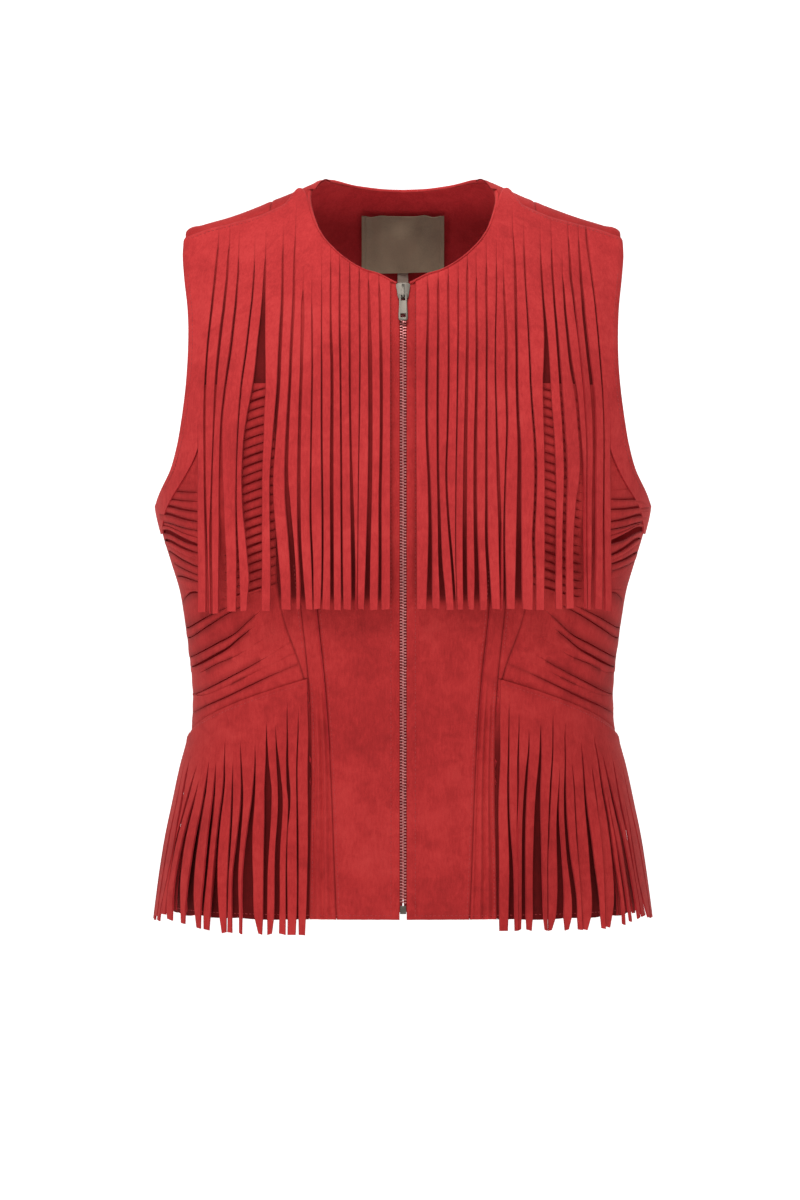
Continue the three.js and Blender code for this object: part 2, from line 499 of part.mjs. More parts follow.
// Pull: a flat tab whose upper window is closed by the bar that turns inside the arch.
const { s: HS, n: HN } = PULL.hinge;
const pullOutline = [
  [-2.6, HS - PULL.length], [2.6, HS - PULL.length], [PULL.halfEnd, HS - PULL.length + 1.1], [PULL.halfEnd, HS - 16],
  [PULL.halfTop, HS - 9], [PULL.halfTop, HS + 0.1], [2.7, HS + 0.65], [-2.7, HS + 0.65], [-PULL.halfTop, HS + 0.1],
  [-PULL.halfTop, HS - 9], [-PULL.halfEnd, HS - 16], [-PULL.halfEnd, HS - PULL.length + 1.1],
];
const pullWindow = [[-1.6, HS - 0.65], [1.6, HS - 0.65], [1.6, HS - 5.4], [-1.6, HS - 5.4]];
const endWindow = [[-2.0, HS - 16.9], [2.0, HS - 16.9], [2.0, HS - 20.2], [-2.0, HS - 20.2]];
const pullMesh = new THREE.Mesh(
  plate(pullOutline, HN - PULL.thick / 2, HN + PULL.thick / 2, [pullWindow, endWindow]), metal());
pullMesh.name = 'zip_pull';
sliderFrame.add(pullMesh);

// Bottom stop: a small clip around the last teeth.
const stopFrame = zipFrame(ZIP.bottom - 4.2);
group.add(stopFrame);
const stopMesh = new THREE.Mesh(plate([[-2.4, -3.4], [2.4, -3.4], [2.4, 3.0], [-2.4, 3.0]], -1.6, 1.1), metal());
stopMesh.name = 'zip_bottom_stop';
stopFrame.add(stopMesh);

// ---- label and size tab inside the back neck -------------------------------------------------------------------
// Their stations lie between those of the back, so they stand clear of its facets.
function labelStation(spec, rows) {
  return (i, j) => {
    const x = spec.halfWidth * (i / 2), z = spec.bottom + (spec.top - spec.bottom) * (j / rows);
    const th = Math.asin(x / TOP_HALF_WIDTH);
    return [th, dropT(th, z)];
  };
}
add('label', geometryOf(wall(block(-2, 2, 0, 3), labelStation(LABEL, 3), -3.4 - LABEL.thick, -3.4, { rows: -1 }), false, true), labelSkin());
add('size_tab', geometryOf(wall(block(-2, 2, 0, 1), labelStation(SIZE_TAB, 1), -3.4 - SIZE_TAB.thick, -3.4, { rows: -1 }), false, true), labelSkin());

export default group;
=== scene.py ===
import bpy
import bmesh
import json
import math
import random
import numpy as np
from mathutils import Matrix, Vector

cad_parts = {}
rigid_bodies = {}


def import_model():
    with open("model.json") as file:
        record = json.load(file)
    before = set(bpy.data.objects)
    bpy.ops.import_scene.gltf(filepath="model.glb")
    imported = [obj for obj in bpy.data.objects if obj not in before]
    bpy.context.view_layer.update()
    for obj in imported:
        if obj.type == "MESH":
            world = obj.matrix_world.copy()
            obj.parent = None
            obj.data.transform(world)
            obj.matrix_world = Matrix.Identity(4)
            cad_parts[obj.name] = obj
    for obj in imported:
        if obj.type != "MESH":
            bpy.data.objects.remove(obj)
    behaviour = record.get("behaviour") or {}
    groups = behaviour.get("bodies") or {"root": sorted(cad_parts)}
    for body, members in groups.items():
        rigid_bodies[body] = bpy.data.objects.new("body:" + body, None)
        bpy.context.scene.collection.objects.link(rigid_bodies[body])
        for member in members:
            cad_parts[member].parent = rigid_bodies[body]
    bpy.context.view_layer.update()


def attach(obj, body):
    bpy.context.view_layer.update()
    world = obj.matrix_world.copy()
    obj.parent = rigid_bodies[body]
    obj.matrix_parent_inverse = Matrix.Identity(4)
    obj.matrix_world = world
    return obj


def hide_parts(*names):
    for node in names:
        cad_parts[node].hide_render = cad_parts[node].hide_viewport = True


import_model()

# Suede vest: fringed yoke over the chest, slashed side panels, fringed peplum over each hip, metal zip.
# Lengths below are millimetres unless a name says otherwise; meshes are made in metres.
RAD = math.pi / 180
rng = random.Random(41)

# ---------------------------------------------------------------------------------------------- garment surface
TOP_HALF = 197.0
DROP = 110.0
HALF_WIDTH = [(-600, 187), (-582, 185), (-540, 181), (-500, 176.5), (-450, 172), (-430, 169), (-400, 168), (-370, 171),
              (-340, 175), (-320, 178.5), (-300, 184.5), (-275, 192), (-253, 197), (-240, 197), (40, 197)]
FRONT_DEPTH = [(-600, 107), (-582, 106), (-530, 101), (-460, 97), (-400, 96), (-330, 103), (-260, 111), (-200, 110),
               (-130, 104), (-74, 98), (40, 92)]
BACK_DEPTH = [(-600, 109), (-582, 108), (-520, 99), (-460, 88), (-400, 78), (-340, 81), (-300, 89), (-200, 103),
              (-130, 104), (-60, 98), (40, 85)]
RIDGE = [(0, 22), (25, 19), (50, 13), (68.8, 6.4), (90.4, -3.2), (113.6, -12.8), (140, -22.4), (160, -28.2),
         (172.8, -32.5), (176.8, -37.6), (197, -60)]
FRONT_TOP = [(0, -83.8), (4.8, -82.6), (10.8, -79.4), (18.2, -75.4), (30.1, -71.4), (42.1, -64.3), (54.2, -53.7),
             (63.4, -42.3), (71.3, -25.7), (76.4, -6.8), (95.7, -14.9), (113.4, -22.6), (135.4, -28.5),
             (156.5, -33.5), (174, -39.5), (178, -41)]
BACK_NECK = [(0, 5.2), (17, 5.6), (35, 7), (52, 8.6), (62, 8.2), (68.8, 6.2)]
ARM_FRONT = [(-253, 197), (-244, 192.5), (-226, 182.5), (-207, 176.5), (-188.6, 173.1), (-160, 169.4), (-130, 168),
             (-100, 169.2), (-72.9, 172.7), (-52.7, 174.6), (-38, 174), (0, 174)]
ARM_BACK = [(-253, 197), (-244, 193.5), (-226, 186), (-207, 180.5), (-188.6, 176.5), (-160, 173), (-130, 171),
            (-100, 170.8), (-72.9, 172.8), (-52.7, 174.4), (-38, 174), (0, 174)]
BORDER_TH = [(-275, 81), (-253, 69), (-232, 60), (-208, 54.2), (-185, 53.6), (-150, 53.6), (-100, 54.4), (-40, 55)]
FRINGE_SIDE = [(-336.5, 154), (-250, 153), (-208, 153.2), (-130, 154), (-60, 155.5), (-30, 156.5)]
BACK_SEAM = [(-575, 86), (-500, 72), (-420, 62), (-330, 72), (-200, 90), (-120, 97), (-60, 104), (0, 106)]
HIP_LIFT = [(-600, 12.4), (-575, 12), (-540, 10.6), (-515, 9.4), (-485, 6.4), (-460, 3.2), (-445, 1), (-434, 0.3)]
ROWS = [(-575, -575), (-538, -541), (-501, -507), (-464, -472), (-427, -453), (-389, -434), (-363, -403),
        (-336.5, -371), (-314, -336), (-291, -303), (-269, -275), (-252, -253), (-243, -244), (-226, -226),
        (-208, -207), (-185, -185), (-160, -160), (-130, -130), (-100, -100)]
R_WAIST, R_FRINGE, R_BORDER, R_ARMPIT, R_TURN, R_SLASH, R_YOKE = 5, 7, 10, 11, 14, 16, 18
TOP_ROWS = 6
TOP = R_YOKE + TOP_ROWS
LEVELS = (-575, -389, -336.5, -252, -100, -40)
# hem, waist, under, bust, yoke, top
COLS = [(2.7,) * 6, (6,) * 6, (20,) * 6, (30, 33, 35, 36, 36, 36), (41, 46, 50, 52, 52, 52), (46.5, 54, 60, 63, 63, 63.4),
        (51.4, 61, 66.5, 71, 72, 71.3), (62, 67, 73, 79, 80, 76.4), (72.7, 73.7, 79, 86, 89, 90),
        (86, 77, 94.5, 98, 101, 106)]
C_PRINCESS, C_NECK, C_STRIP, C_SLASH, C_OUT1, C_OUT2, C_FRINGE, C_BORDER, C_SIDE = 6, 7, 8, 9, 10, 11, 12, 13, 14
SHARES = [(0.26, 0.25), (0.5, 0.5), (0.74, 0.75), (0.88, 0.88), (1, 1)]
Z_PLUMB = -256.0


def curve(rows):
    x = np.array([r[0] for r in rows], float)
    y = np.array([r[1] for r in rows], float)
    h = np.diff(x)
    d = np.diff(y) / h
    m = np.empty_like(y)
    m[0], m[-1] = d[0], d[-1]
    m[1:-1] = (d[:-1] * h[1:] + d[1:] * h[:-1]) / (h[:-1] + h[1:])

    def at(v):
        v = np.clip(np.asarray(v, float), x[0], x[-1])
        k = np.clip(np.searchsorted(x, v, side="right") - 1, 0, len(x) - 2)
        s = (v - x[k]) / h[k]
        return ((2 * s ** 3 - 3 * s * s + 1) * y[k] + (s ** 3 - 2 * s * s + s) * h[k] * m[k]
                + (3 * s * s - 2 * s ** 3) * y[k + 1] + (s ** 3 - s * s) * h[k] * m[k + 1])
    return at


half_width, front_depth, back_depth = curve(HALF_WIDTH), curve(FRONT_DEPTH), curve(BACK_DEPTH)
ridge_at, front_top_at, back_neck_at = curve(RIDGE), curve(FRONT_TOP), curve(BACK_NECK)
arm_front, arm_back, border_th = curve(ARM_FRONT), curve(ARM_BACK), curve(BORDER_TH)
fringe_side_x, back_seam_x, hip_lift = curve(FRINGE_SIDE), curve(BACK_SEAM), curve(HIP_LIFT)
column_x = [curve([(z, c[k]) for k, z in enumerate(LEVELS)]) for c in COLS]


def ridge_of(th):
    return ridge_at(TOP_HALF * np.abs(np.sin(th)))


def surf(th, t):
    th, t = np.broadcast_arrays(np.asarray(th, float), np.asarray(t, float))
    q = DROP * t * t
    z = ridge_of(th) - q
    x = half_width(z) * np.sin(th)
    c = np.cos(th) * (1 + 0.25 * np.sin(th) ** 2)
    x0 = TOP_HALF * np.abs(np.sin(th))
    front = t < 0
    p = np.where(front, 1.5, 2.2 - 0.6 * np.clip((x0 - 60) / 117, 0, 1))
    s = np.minimum(q / np.where(front, 150.0, 110.0), 1)
    g = (1 - (1 - s) ** p) ** (1 / p)
    w = np.clip(-t / 0.6, 0, 1)
    mix = w * w * (3 - 2 * w)
    g = np.where(front & (t > -0.6), mix * g + (1 - mix) * 0.85 * (-t), g)
    y = np.where(front, -front_depth(z), back_depth(z)) * c * g
    return np.stack([x, y, z], -1)


def norm(th, t, d=0.003):
    a = surf(th + d, t) - surf(th - d, t)
    b = surf(th, t + d) - surf(th, t - d)
    n = np.cross(a, b)
    return n / np.maximum(np.linalg.norm(n, axis=-1, keepdims=True), 1e-9)


def drop_t(th, z):
    return np.sqrt(np.maximum(0, ridge_of(th) - z) / DROP)


def th_of(x, z):
    return np.arcsin(np.clip(np.asarray(x, float) / half_width(z), -1, 1))


def row_z(front, side, th):
    return front + (side - front) * np.clip((th / RAD - 26) / 58, 0, 1)


IDX = np.arange(len(ROWS))
ROW_F = np.array([r[0] for r in ROWS], float)
ROW_S = np.array([r[1] for r in ROWS], float)


def front_column(i, J):
    jj = np.minimum(J, R_YOKE)
    f, s = np.interp(jj, IDX, ROW_F), np.interp(jj, IDX, ROW_S)
    up = np.maximum(0, J - R_YOKE) / TOP_ROWS
    last = len(COLS) - 1

    def col(c, z):
        yoke, top = COLS[c][4], COLS[c][5]
        return np.where(up > 0, yoke + (top - yoke) * up, column_x[c](z))

    def place(z):
        edge = np.where(s <= -253 + 1e-9, math.pi / 2, th_of(arm_front(np.where(up > 0, -100 + 62 * up, s)), z))
        if i <= last:
            return th_of(col(i, z), z)
        inner = th_of(col(last, z), z)
        low, top = SHARES[i - last - 1]
        own = inner + (edge - inner) * (low + (top - low) * up)
        outer = th_of(fringe_side_x(z), z)
        if i == C_FRINGE:
            return own + (outer - own) * np.clip((z + 345) / 8, 0, 1)
        if i == C_BORDER:
            target = np.where(z > -206, (outer + edge) / 2, border_th(z) * RAD)
            return own + (target - own) * np.clip((z + 300) / 25, 0, 1)
        if i in (C_OUT1, C_OUT2):
            even = inner + (outer - inner) * (0.34 if i == C_OUT1 else 0.67)
            return own + (even - own) * np.where(up > 0, 1.0, np.clip((z + 345) / 8, 0, 1))
        return own

    z = f.copy()
    th = place(z)
    for _ in range(12):
        z = row_z(f, s, th)
        th = place(z)
    if i == C_SIDE:
        z = np.where(up > 0, z, s)
        th = np.where(up > 0, th, np.where(s <= -253 + 1e-9, math.pi / 2, th_of(arm_front(s), s)))
    t = -drop_t(th, z)
    low = -drop_t(th, -100.0)
    high = -drop_t(th, front_top_at(TOP_HALF * np.sin(th)))
    return th, np.where(up > 0, low + (high - low) * up, t)


BACK_TOP_X = [0, 17.5, 35, 54, 69.5, 76.4, 90, 106]
B_SEAM = len(BACK_TOP_X) - 1
B_SIDE = B_SEAM + len(SHARES)


def back_column(k, J):
    jj = np.minimum(J, R_YOKE)
    z = np.interp(jj, IDX, ROW_S)
    up = np.maximum(0, J - R_YOKE) / TOP_ROWS
    edge = np.where(z <= -253 + 1e-9, math.pi / 2, th_of(arm_back(np.where(up > 0, -100 + 62 * up, z)), z))
    at100 = float(back_seam_x(-100.0))
    seam = th_of(np.where(up > 0, at100 + (BACK_TOP_X[-1] - at100) * up, back_seam_x(z)), z)
    if k <= B_SEAM:
        own = th_of(BACK_TOP_X[k], -40.0)
        low = seam * (BACK_TOP_X[k] / BACK_TOP_X[-1])
        th = seam if k == B_SEAM else low + (own - low) * up
    else:
        lo, hi = SHARES[k - B_SEAM - 1]
        th = seam + (edge - seam) * (lo + (hi - lo) * up)
        if k != B_SIDE:
            own = front_column(len(COLS) + k - B_SEAM - 1, np.array([float(TOP)]))[0][0]
            th = th + (own - th) * up
    t = drop_t(th, z)
    x = TOP_HALF * np.sin(th)
    high = np.where(x <= 69.6, drop_t(th, back_neck_at(x)), -drop_t(th, front_top_at(np.maximum(x, 76.4))))
    low = drop_t(th, -100.0)
    return th, np.where(up > 0, low + (high - low) * up, t)


SUB = 7
FINE = np.arange(0, TOP * SUB + 1) / SUB
FRONT = [front_column(i, FINE) for i in range(C_SIDE + 1)]
BACK = [back_column(k, FINE) for k in range(B_SIDE + 1)]


def stations(table, i0, i1, j0, j1, across=4.2):
    """Fine stations of a patch: th and t arrays of shape (across, along)."""
    rows = slice(j0 * SUB, j1 * SUB + 1)
    th_list, t_list = [], []
    for i in range(i0, i1):
        a, b = table[i], table[i + 1]
        n = max(1, int(math.ceil(float(np.max(np.linalg.norm(surf(*a) - surf(*b), axis=1))) / across)))
        for k in range(n):
            f = k / n
            th_list.append(a[0][rows] * (1 - f) + b[0][rows] * f)
            t_list.append(a[1][rows] * (1 - f) + b[1][rows] * f)
    th_list.append(table[i1][0][rows])
    t_list.append(table[i1][1][rows])
    return np.array(th_list), np.array(t_list)


def smooth(a, b, v):
    s = np.clip((np.asarray(v, float) - a) / (b - a), 0, 1)
    return s * s * (3 - 2 * s)


# ------------------------------------------------------------------------------------------------- materials
class Nodes:
    def __init__(self, name):
        self.mat = bpy.data.materials.new(name)
        self.mat.use_nodes = True
        self.tree = self.mat.node_tree
        self.tree.nodes.clear()
        self.out = self.add("ShaderNodeOutputMaterial")
        self.bsdf = self.add("ShaderNodeBsdfPrincipled")
        self.link(self.bsdf, "BSDF", self.out, "Surface")
        self.coord = self.add("ShaderNodeTexCoord")

    def add(self, kind, **values):
        n = self.tree.nodes.new(kind)
        for k, v in values.items():
            setattr(n, k, v)
        return n

    def link(self, a, out, b, to):
        self.tree.links.new(a.outputs[out], b.inputs[to])

    def noise(self, scale, detail=3.0, rough=0.55, distort=0.0, stretch=None, turn=(0, 0, 0)):
        n = self.add("ShaderNodeTexNoise")
        n.inputs["Scale"].default_value = scale
        n.inputs["Detail"].default_value = detail
        n.inputs["Roughness"].default_value = rough
        n.inputs["Distortion"].default_value = distort
        if stretch is None:
            self.link(self.coord, "Object", n, "Vector")
        else:
            m = self.add("ShaderNodeMapping")
            m.inputs["Scale"].default_value = stretch
            m.inputs["Rotation"].default_value = turn
            self.link(self.coord, "Object", m, "Vector")
            self.link(m, "Vector", n, "Vector")
        return n

    def math(self, op, a, b, a_out=0, b_out=0):
        n = self.add("ShaderNodeMath", operation=op)
        for k, (v, o) in enumerate(((a, a_out), (b, b_out))):
            if isinstance(v, (int, float)):
                n.inputs[k].default_value = v
            else:
                self.tree.links.new(v.outputs[o], n.inputs[k])
        return n

    def weighted(self, terms, start=0.5):
        """start + sum of weight * (noise - 0.5)."""
        total = None
        for node, w in terms:
            part = self.math("MULTIPLY_ADD", node, w)
            part.inputs[2].default_value = -0.5 * w + (start if total is None else 0)
            total = part if total is None else self.math("ADD", total, part)
        return total

    def ramp(self, factor, stops, out=0):
        n = self.add("ShaderNodeValToRGB")
        n.color_ramp.interpolation = "B_SPLINE" if len(stops) > 3 else "LINEAR"
        while len(n.color_ramp.elements) < len(stops):
            n.color_ramp.elements.new(0.5)
        for e, (pos, col) in zip(n.color_ramp.elements, stops):
            e.position = pos
            e.color = (*col, 1)
        self.tree.links.new(factor.outputs[out], n.inputs["Fac"])
        return n

    def bump(self, height, strength, distance, out=0, before=None):
        n = self.add("ShaderNodeBump")
        n.inputs["Strength"].default_value = strength
        n.inputs["Distance"].default_value = distance
        self.tree.links.new(height.outputs[out], n.inputs["Height"])
        if before is not None:
            self.link(before, "Normal", n, "Normal")
        return n


def shade(col, k):
    return tuple(c * k for c in col)


def suede(name, mid, spread=1.0, sheen=0.12, edge_and_shade_dark=0.35, nap=1.0, neck_light_share=0.0):
    m = Nodes(name)
    broad = m.noise(17, 3, 0.5, 0.35)
    patch = m.noise(85, 4, 0.6, 0.9)
    brushed = m.noise(1.0, 3, 0.6, 0.4, stretch=(620, 620, 150), turn=(0, 0.2, 0))
    fine = m.noise(2300, 2, 0.6)
    pits = m.noise(700, 3, 0.65)
    mix = m.weighted([(broad, 0.55 * spread), (patch, 0.5 * spread), (brushed, 0.34 * nap), (fine, 0.3 * nap)])
    col = m.ramp(mix, [(0.22, (mid[0] * 0.60, mid[1] * 0.48, mid[2] * 0.5)), (0.42, (mid[0] * 0.86, mid[1] * 0.8, mid[2] * 0.82)),
                       (0.56, mid), (0.8, (min(1, mid[0] * 1.18), mid[1] * 1.75, mid[2] * 1.6))])
    # The cut attribute darkens the colour at cut edges and seams, and also carries painted shade: the base layer under
    # the fringes and the strips tucked behind their neighbours.
    attr = m.add("ShaderNodeAttribute", attribute_name="cut")
    edge_and_shade = m.math("MULTIPLY", attr, edge_and_shade_dark, a_out=2)
    mixer = m.add("ShaderNodeMix", data_type="RGBA", blend_type="MULTIPLY")
    m.tree.links.new(edge_and_shade.outputs[0], mixer.inputs[0])
    m.tree.links.new(col.outputs["Color"], mixer.inputs[6])
    mixer.inputs[7].default_value = (0.23, 0.055, 0.065, 1)
    # Painted light: near the top of the inside of the back neck the colour is made paler, a lit band where light falls
    # in over the front.
    paler = m.add("ShaderNodeMix", data_type="RGBA", blend_type="MULTIPLY")
    near = m.add("ShaderNodeAttribute", attribute_name="near_neck")
    share = m.math("MULTIPLY", near, neck_light_share, a_out=2)
    m.tree.links.new(share.outputs[0], paler.inputs[0])
    m.tree.links.new(mixer.outputs[2], paler.inputs[6])
    paler.inputs[7].default_value = (1.75, 2.1, 2.0, 1)
    m.tree.links.new(paler.outputs[2], m.bsdf.inputs["Base Color"])
    rough = m.add("ShaderNodeMapRange")
    rough.inputs["To Min"].default_value = 0.84
    rough.inputs["To Max"].default_value = 0.99
    m.link(patch, "Fac", rough, "Value")
    m.link(rough, "Result", m.bsdf, "Roughness")
    m.bsdf.inputs["Specular IOR Level"].default_value = 0.18
    m.bsdf.inputs["Sheen Weight"].default_value = sheen
    m.bsdf.inputs["Sheen Roughness"].default_value = 0.42
    m.bsdf.inputs["Sheen Tint"].default_value = (1.0, 0.30, 0.26, 1)
    b1 = m.bump(m.weighted([(pits, 0.7), (fine, 0.6)]), 0.5, 0.00028)
    b2 = m.bump(m.weighted([(brushed, 0.6), (patch, 0.5)]), 0.35, 0.0006, before=b1)
    m.link(b2, "Normal", m.bsdf, "Normal")
    return m.mat


# The strips and the turned neck edge take a lighter copy of the suede than the body and the hip fringe: painted light,
# the yoke lit from above and the body lower down in shade.
RED = (0.408, 0.0230, 0.0232)
SUEDE = suede("suede_face", RED, edge_and_shade_dark=1.0)
SUEDE_IN = suede("suede_wrong_side", (0.38, 0.0165, 0.0205), spread=0.8, sheen=0.08, edge_and_shade_dark=0.0, neck_light_share=1.0)
SUEDE_TOP_LIT = suede("suede_strips_lit", (0.475, 0.0300, 0.0310), spread=0.8, sheen=0.13, edge_and_shade_dark=0.6)


def thread(name, col):
    m = Nodes(name)
    twist = m.add("ShaderNodeTexWave", wave_type="BANDS", bands_direction="DIAGONAL")
    twist.inputs["Scale"].default_value = 420
    twist.inputs["Distortion"].default_value = 0.6
    m.link(m.coord, "Object", twist, "Vector")
    fuzz = m.noise(1800, 2, 0.6)
    mix = m.weighted([(twist, 0.35), (fuzz, 0.4)])
    c = m.ramp(mix, [(0.2, shade(col, 0.6)), (0.5, col), (0.85, (min(1, col[0] * 1.25), col[1] * 1.7, col[2] * 1.6))])
    m.link(c, "Color", m.bsdf, "Base Color")
    m.bsdf.inputs["Roughness"].default_value = 0.8
    m.bsdf.inputs["Sheen Weight"].default_value = 0.05
    b = m.bump(twist, 0.5, 0.0001, out="Fac")
    m.link(b, "Normal", m.bsdf, "Normal")
    return m.mat


THREAD = thread("thread_red", (0.36, 0.020, 0.022))
THREAD_TAN = thread("thread_tan", (0.13, 0.09, 0.06))


def metal(name, col, rough=(0.22, 0.42)):
    m = Nodes(name)
    cloudy = m.noise(260, 4, 0.6, 0.4)
    fine = m.noise(1.0, 3, 0.6, stretch=(3800, 900, 900))
    spots = m.noise(1500, 2, 0.7)
    mix = m.weighted([(cloudy, 0.6), (spots, 0.35), (fine, 0.3)])
    c = m.ramp(mix, [(0.2, shade(col, 0.62)), (0.5, col), (0.8, tuple(min(1, v * 1.12) for v in col))])
    m.link(c, "Color", m.bsdf, "Base Color")
    m.bsdf.inputs["Metallic"].default_value = 1.0
    r = m.add("ShaderNodeMapRange")
    r.inputs["To Min"].default_value = rough[0]
    r.inputs["To Max"].default_value = rough[1]
    m.tree.links.new(mix.outputs[0], r.inputs["Value"])
    m.link(r, "Result", m.bsdf, "Roughness")
    b = m.bump(fine, 0.25, 0.00006, out="Fac")
    m.link(b, "Normal", m.bsdf, "Normal")
    return m.mat


METAL = metal("zip_nickel", (0.135, 0.118, 0.10), (0.42, 0.6))
# The teeth's pink-red tint is a painted reflection of the red suede around them.
METAL_TEETH = metal("zip_teeth_metal", (0.72, 0.295, 0.285), (0.36, 0.56))


def woven(name, col, pitch=0.45, edge_and_shade_dark=0.0):
    m = Nodes(name)
    k = 1000 / pitch / (2 * math.pi) * math.pi
    across = m.add("ShaderNodeTexWave", wave_type="BANDS", bands_direction="X")
    along = m.add("ShaderNodeTexWave", wave_type="BANDS", bands_direction="Z")
    for w, s in ((across, k * 0.32), (along, k * 0.32)):
        w.inputs["Scale"].default_value = s
        w.inputs["Distortion"].default_value = 0.5
        w.inputs["Detail"].default_value = 1.0
        m.link(m.coord, "Object", w, "Vector")
    fuzz = m.noise(1500, 2, 0.6)
    blotch = m.noise(90, 3, 0.5)
    weave = m.math("MAXIMUM", across, along, a_out=1, b_out=1)
    mix = m.weighted([(weave, 0.45), (fuzz, 0.3), (blotch, 0.4)])
    c = m.ramp(mix, [(0.15, shade(col, 0.5)), (0.5, col), (0.85, tuple(min(1, v * 1.35) for v in col))])
    m.link(c, "Color", m.bsdf, "Base Color")
    m.bsdf.inputs["Roughness"].default_value = 0.9
    m.bsdf.inputs["Sheen Weight"].default_value = 0.2
    b = m.bump(weave, 0.6, 0.00012)
    m.link(b, "Normal", m.bsdf, "Normal")
    return m.mat


TAPE = woven("zip_tape_weave", (0.33, 0.028, 0.032))
TAB = woven("size_tab_weave", (0.235, 0.185, 0.145), 0.35)


def leather(name, col):
    m = Nodes(name)
    cells = m.add("ShaderNodeTexVoronoi", feature="DISTANCE_TO_EDGE")
    cells.inputs["Scale"].default_value = 1150
    wobble = m.noise(500, 2, 0.5)
    add = m.add("ShaderNodeMix", data_type="VECTOR")
    add.inputs[0].default_value = 0.0015
    m.link(m.coord, "Object", add, 4)
    m.tree.links.new(wobble.outputs["Color"], add.inputs[5])
    m.tree.links.new(add.outputs[1], cells.inputs["Vector"])
    broad = m.noise(38, 4, 0.55, 0.5)
    grain = m.noise(900, 3, 0.6)
    mix = m.weighted([(broad, 0.75), (grain, 0.3)])
    c = m.ramp(mix, [(0.2, shade(col, 0.66)), (0.5, col), (0.8, tuple(min(1, v * 1.22) for v in col))])
    m.link(c, "Color", m.bsdf, "Base Color")
    r = m.add("ShaderNodeMapRange")
    r.inputs["To Min"].default_value = 0.5
    r.inputs["To Max"].default_value = 0.72
    m.link(broad, "Fac", r, "Value")
    m.link(r, "Result", m.bsdf, "Roughness")
    m.bsdf.inputs["Specular IOR Level"].default_value = 0.35
    b1 = m.bump(cells, 0.35, 0.00012, out="Distance")
    b2 = m.bump(grain, 0.3, 0.0001, out="Fac", before=b1)
    m.link(b2, "Normal", m.bsdf, "Normal")
    return m.mat


LABEL = leather("label_leather", (0.235, 0.178, 0.118))


# ------------------------------------------------------------------------------------------------- mesh helpers
def to_object(name, verts, faces, mats, cut=None, smooth_angle=38):
    me = bpy.data.meshes.new(name)
    me.from_pydata([tuple(v) for v in verts], [], faces)
    if cut is not None:
        a = me.attributes.new("cut", "FLOAT", "POINT")
        a.data.foreach_set("value", np.asarray(cut, np.float32))
        V = np.asarray(verts, float).reshape(-1, 3) * 1000
        # painted light: marks the top of the inside of the back neck, which the wrong-side suede colours paler as a lit
        # band
        a = me.attributes.new("near_neck", "FLOAT", "POINT")
        a.data.foreach_set("value", (smooth(-24, 3, V[:, 2]) * smooth(-8, 6, V[:, 1])).astype(np.float32))
    me.update()
    o = bpy.data.objects.new(name, me)
    bpy.context.scene.collection.objects.link(o)
    for m in mats:
        me.materials.append(m)
    return o


def finish_mesh(o, angle=38):
    """Applies the modifiers, so the piece keeps its final mesh, and keeps cut edges crisp."""
    bpy.context.view_layer.update()
    deps = bpy.context.evaluated_depsgraph_get()
    me = bpy.data.meshes.new_from_object(o.evaluated_get(deps), preserve_all_data_layers=True, depsgraph=deps)
    old = o.data
    o.modifiers.clear()
    o.data = me
    bpy.data.meshes.remove(old)
    me.polygons.foreach_set("use_smooth", np.ones(len(me.polygons), bool))
    me.set_sharp_from_angle(angle=angle * RAD)
    me.update()
    return o


class Sheet:
    """Open sheet gathered from grids of points; coincident points are merged, then it gets its thickness."""

    def __init__(self, name, mats, node=None, slot="suede", body="vest", thick=1.5):
        self.name, self.mats, self.node, self.slot, self.body, self.thick = name, mats, node, slot, body, thick
        self.verts, self.faces, self.cut = [], [], []

    def grid(self, P, flip=False, cut=None):
        P = np.asarray(P, float)
        na, nb = P.shape[:2]
        base = len(self.verts)
        self.verts.extend(P.reshape(-1, 3).tolist())
        self.cut.extend((np.zeros((na, nb)) if cut is None else np.broadcast_to(cut, (na, nb))).reshape(-1).tolist())
        for a in range(na - 1):
            for b in range(nb - 1):
                q = (base + a * nb + b, base + (a + 1) * nb + b, base + (a + 1) * nb + b + 1, base + a * nb + b + 1)
                self.faces.append(q[::-1] if flip else q)
        return self

    def build(self, merge=0.03, angle=38, rim_inner=True):
        o = to_object(self.name, np.array(self.verts) * 0.001, self.faces, self.mats, self.cut)
        bm = bmesh.new()
        bm.from_mesh(o.data)
        bmesh.ops.remove_doubles(bm, verts=bm.verts, dist=merge * 0.001)
        flat = [f for f in bm.faces if f.calc_area() < 1e-10]
        if flat:
            bmesh.ops.delete(bm, geom=flat, context="FACES_ONLY")
            loose = [v for v in bm.verts if not v.link_faces]
            bmesh.ops.delete(bm, geom=loose, context="VERTS")
        bm.to_mesh(o.data)
        bm.free()
        self.area = sum(p.area for p in o.data.polygons)
        s = o.modifiers.new("wall", "SOLIDIFY")
        s.thickness = self.thick * 0.001
        s.offset = -1
        s.use_even_offset = False
        if len(self.mats) > 1:
            s.material_offset = 1
            s.material_offset_rim = 1 if rim_inner else 0
        finish_mesh(o, angle)
        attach(o, self.body)
        if self.node:
            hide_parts(*([self.node] if isinstance(self.node, str) else self.node))
        return o


def edge_distance(P):
    """Distance in mm of each grid point from the four edges: first row, last row, first column, last column."""
    da = np.linalg.norm(np.diff(P, axis=0), axis=2)
    db = np.linalg.norm(np.diff(P, axis=1), axis=2)
    a = np.concatenate([np.zeros((1, P.shape[1])), np.cumsum(da, 0)])
    b = np.concatenate([np.zeros((P.shape[0], 1)), np.cumsum(db, 1)], axis=1)
    return a, a[-1:, :] - a, b, b[:, -1:] - b


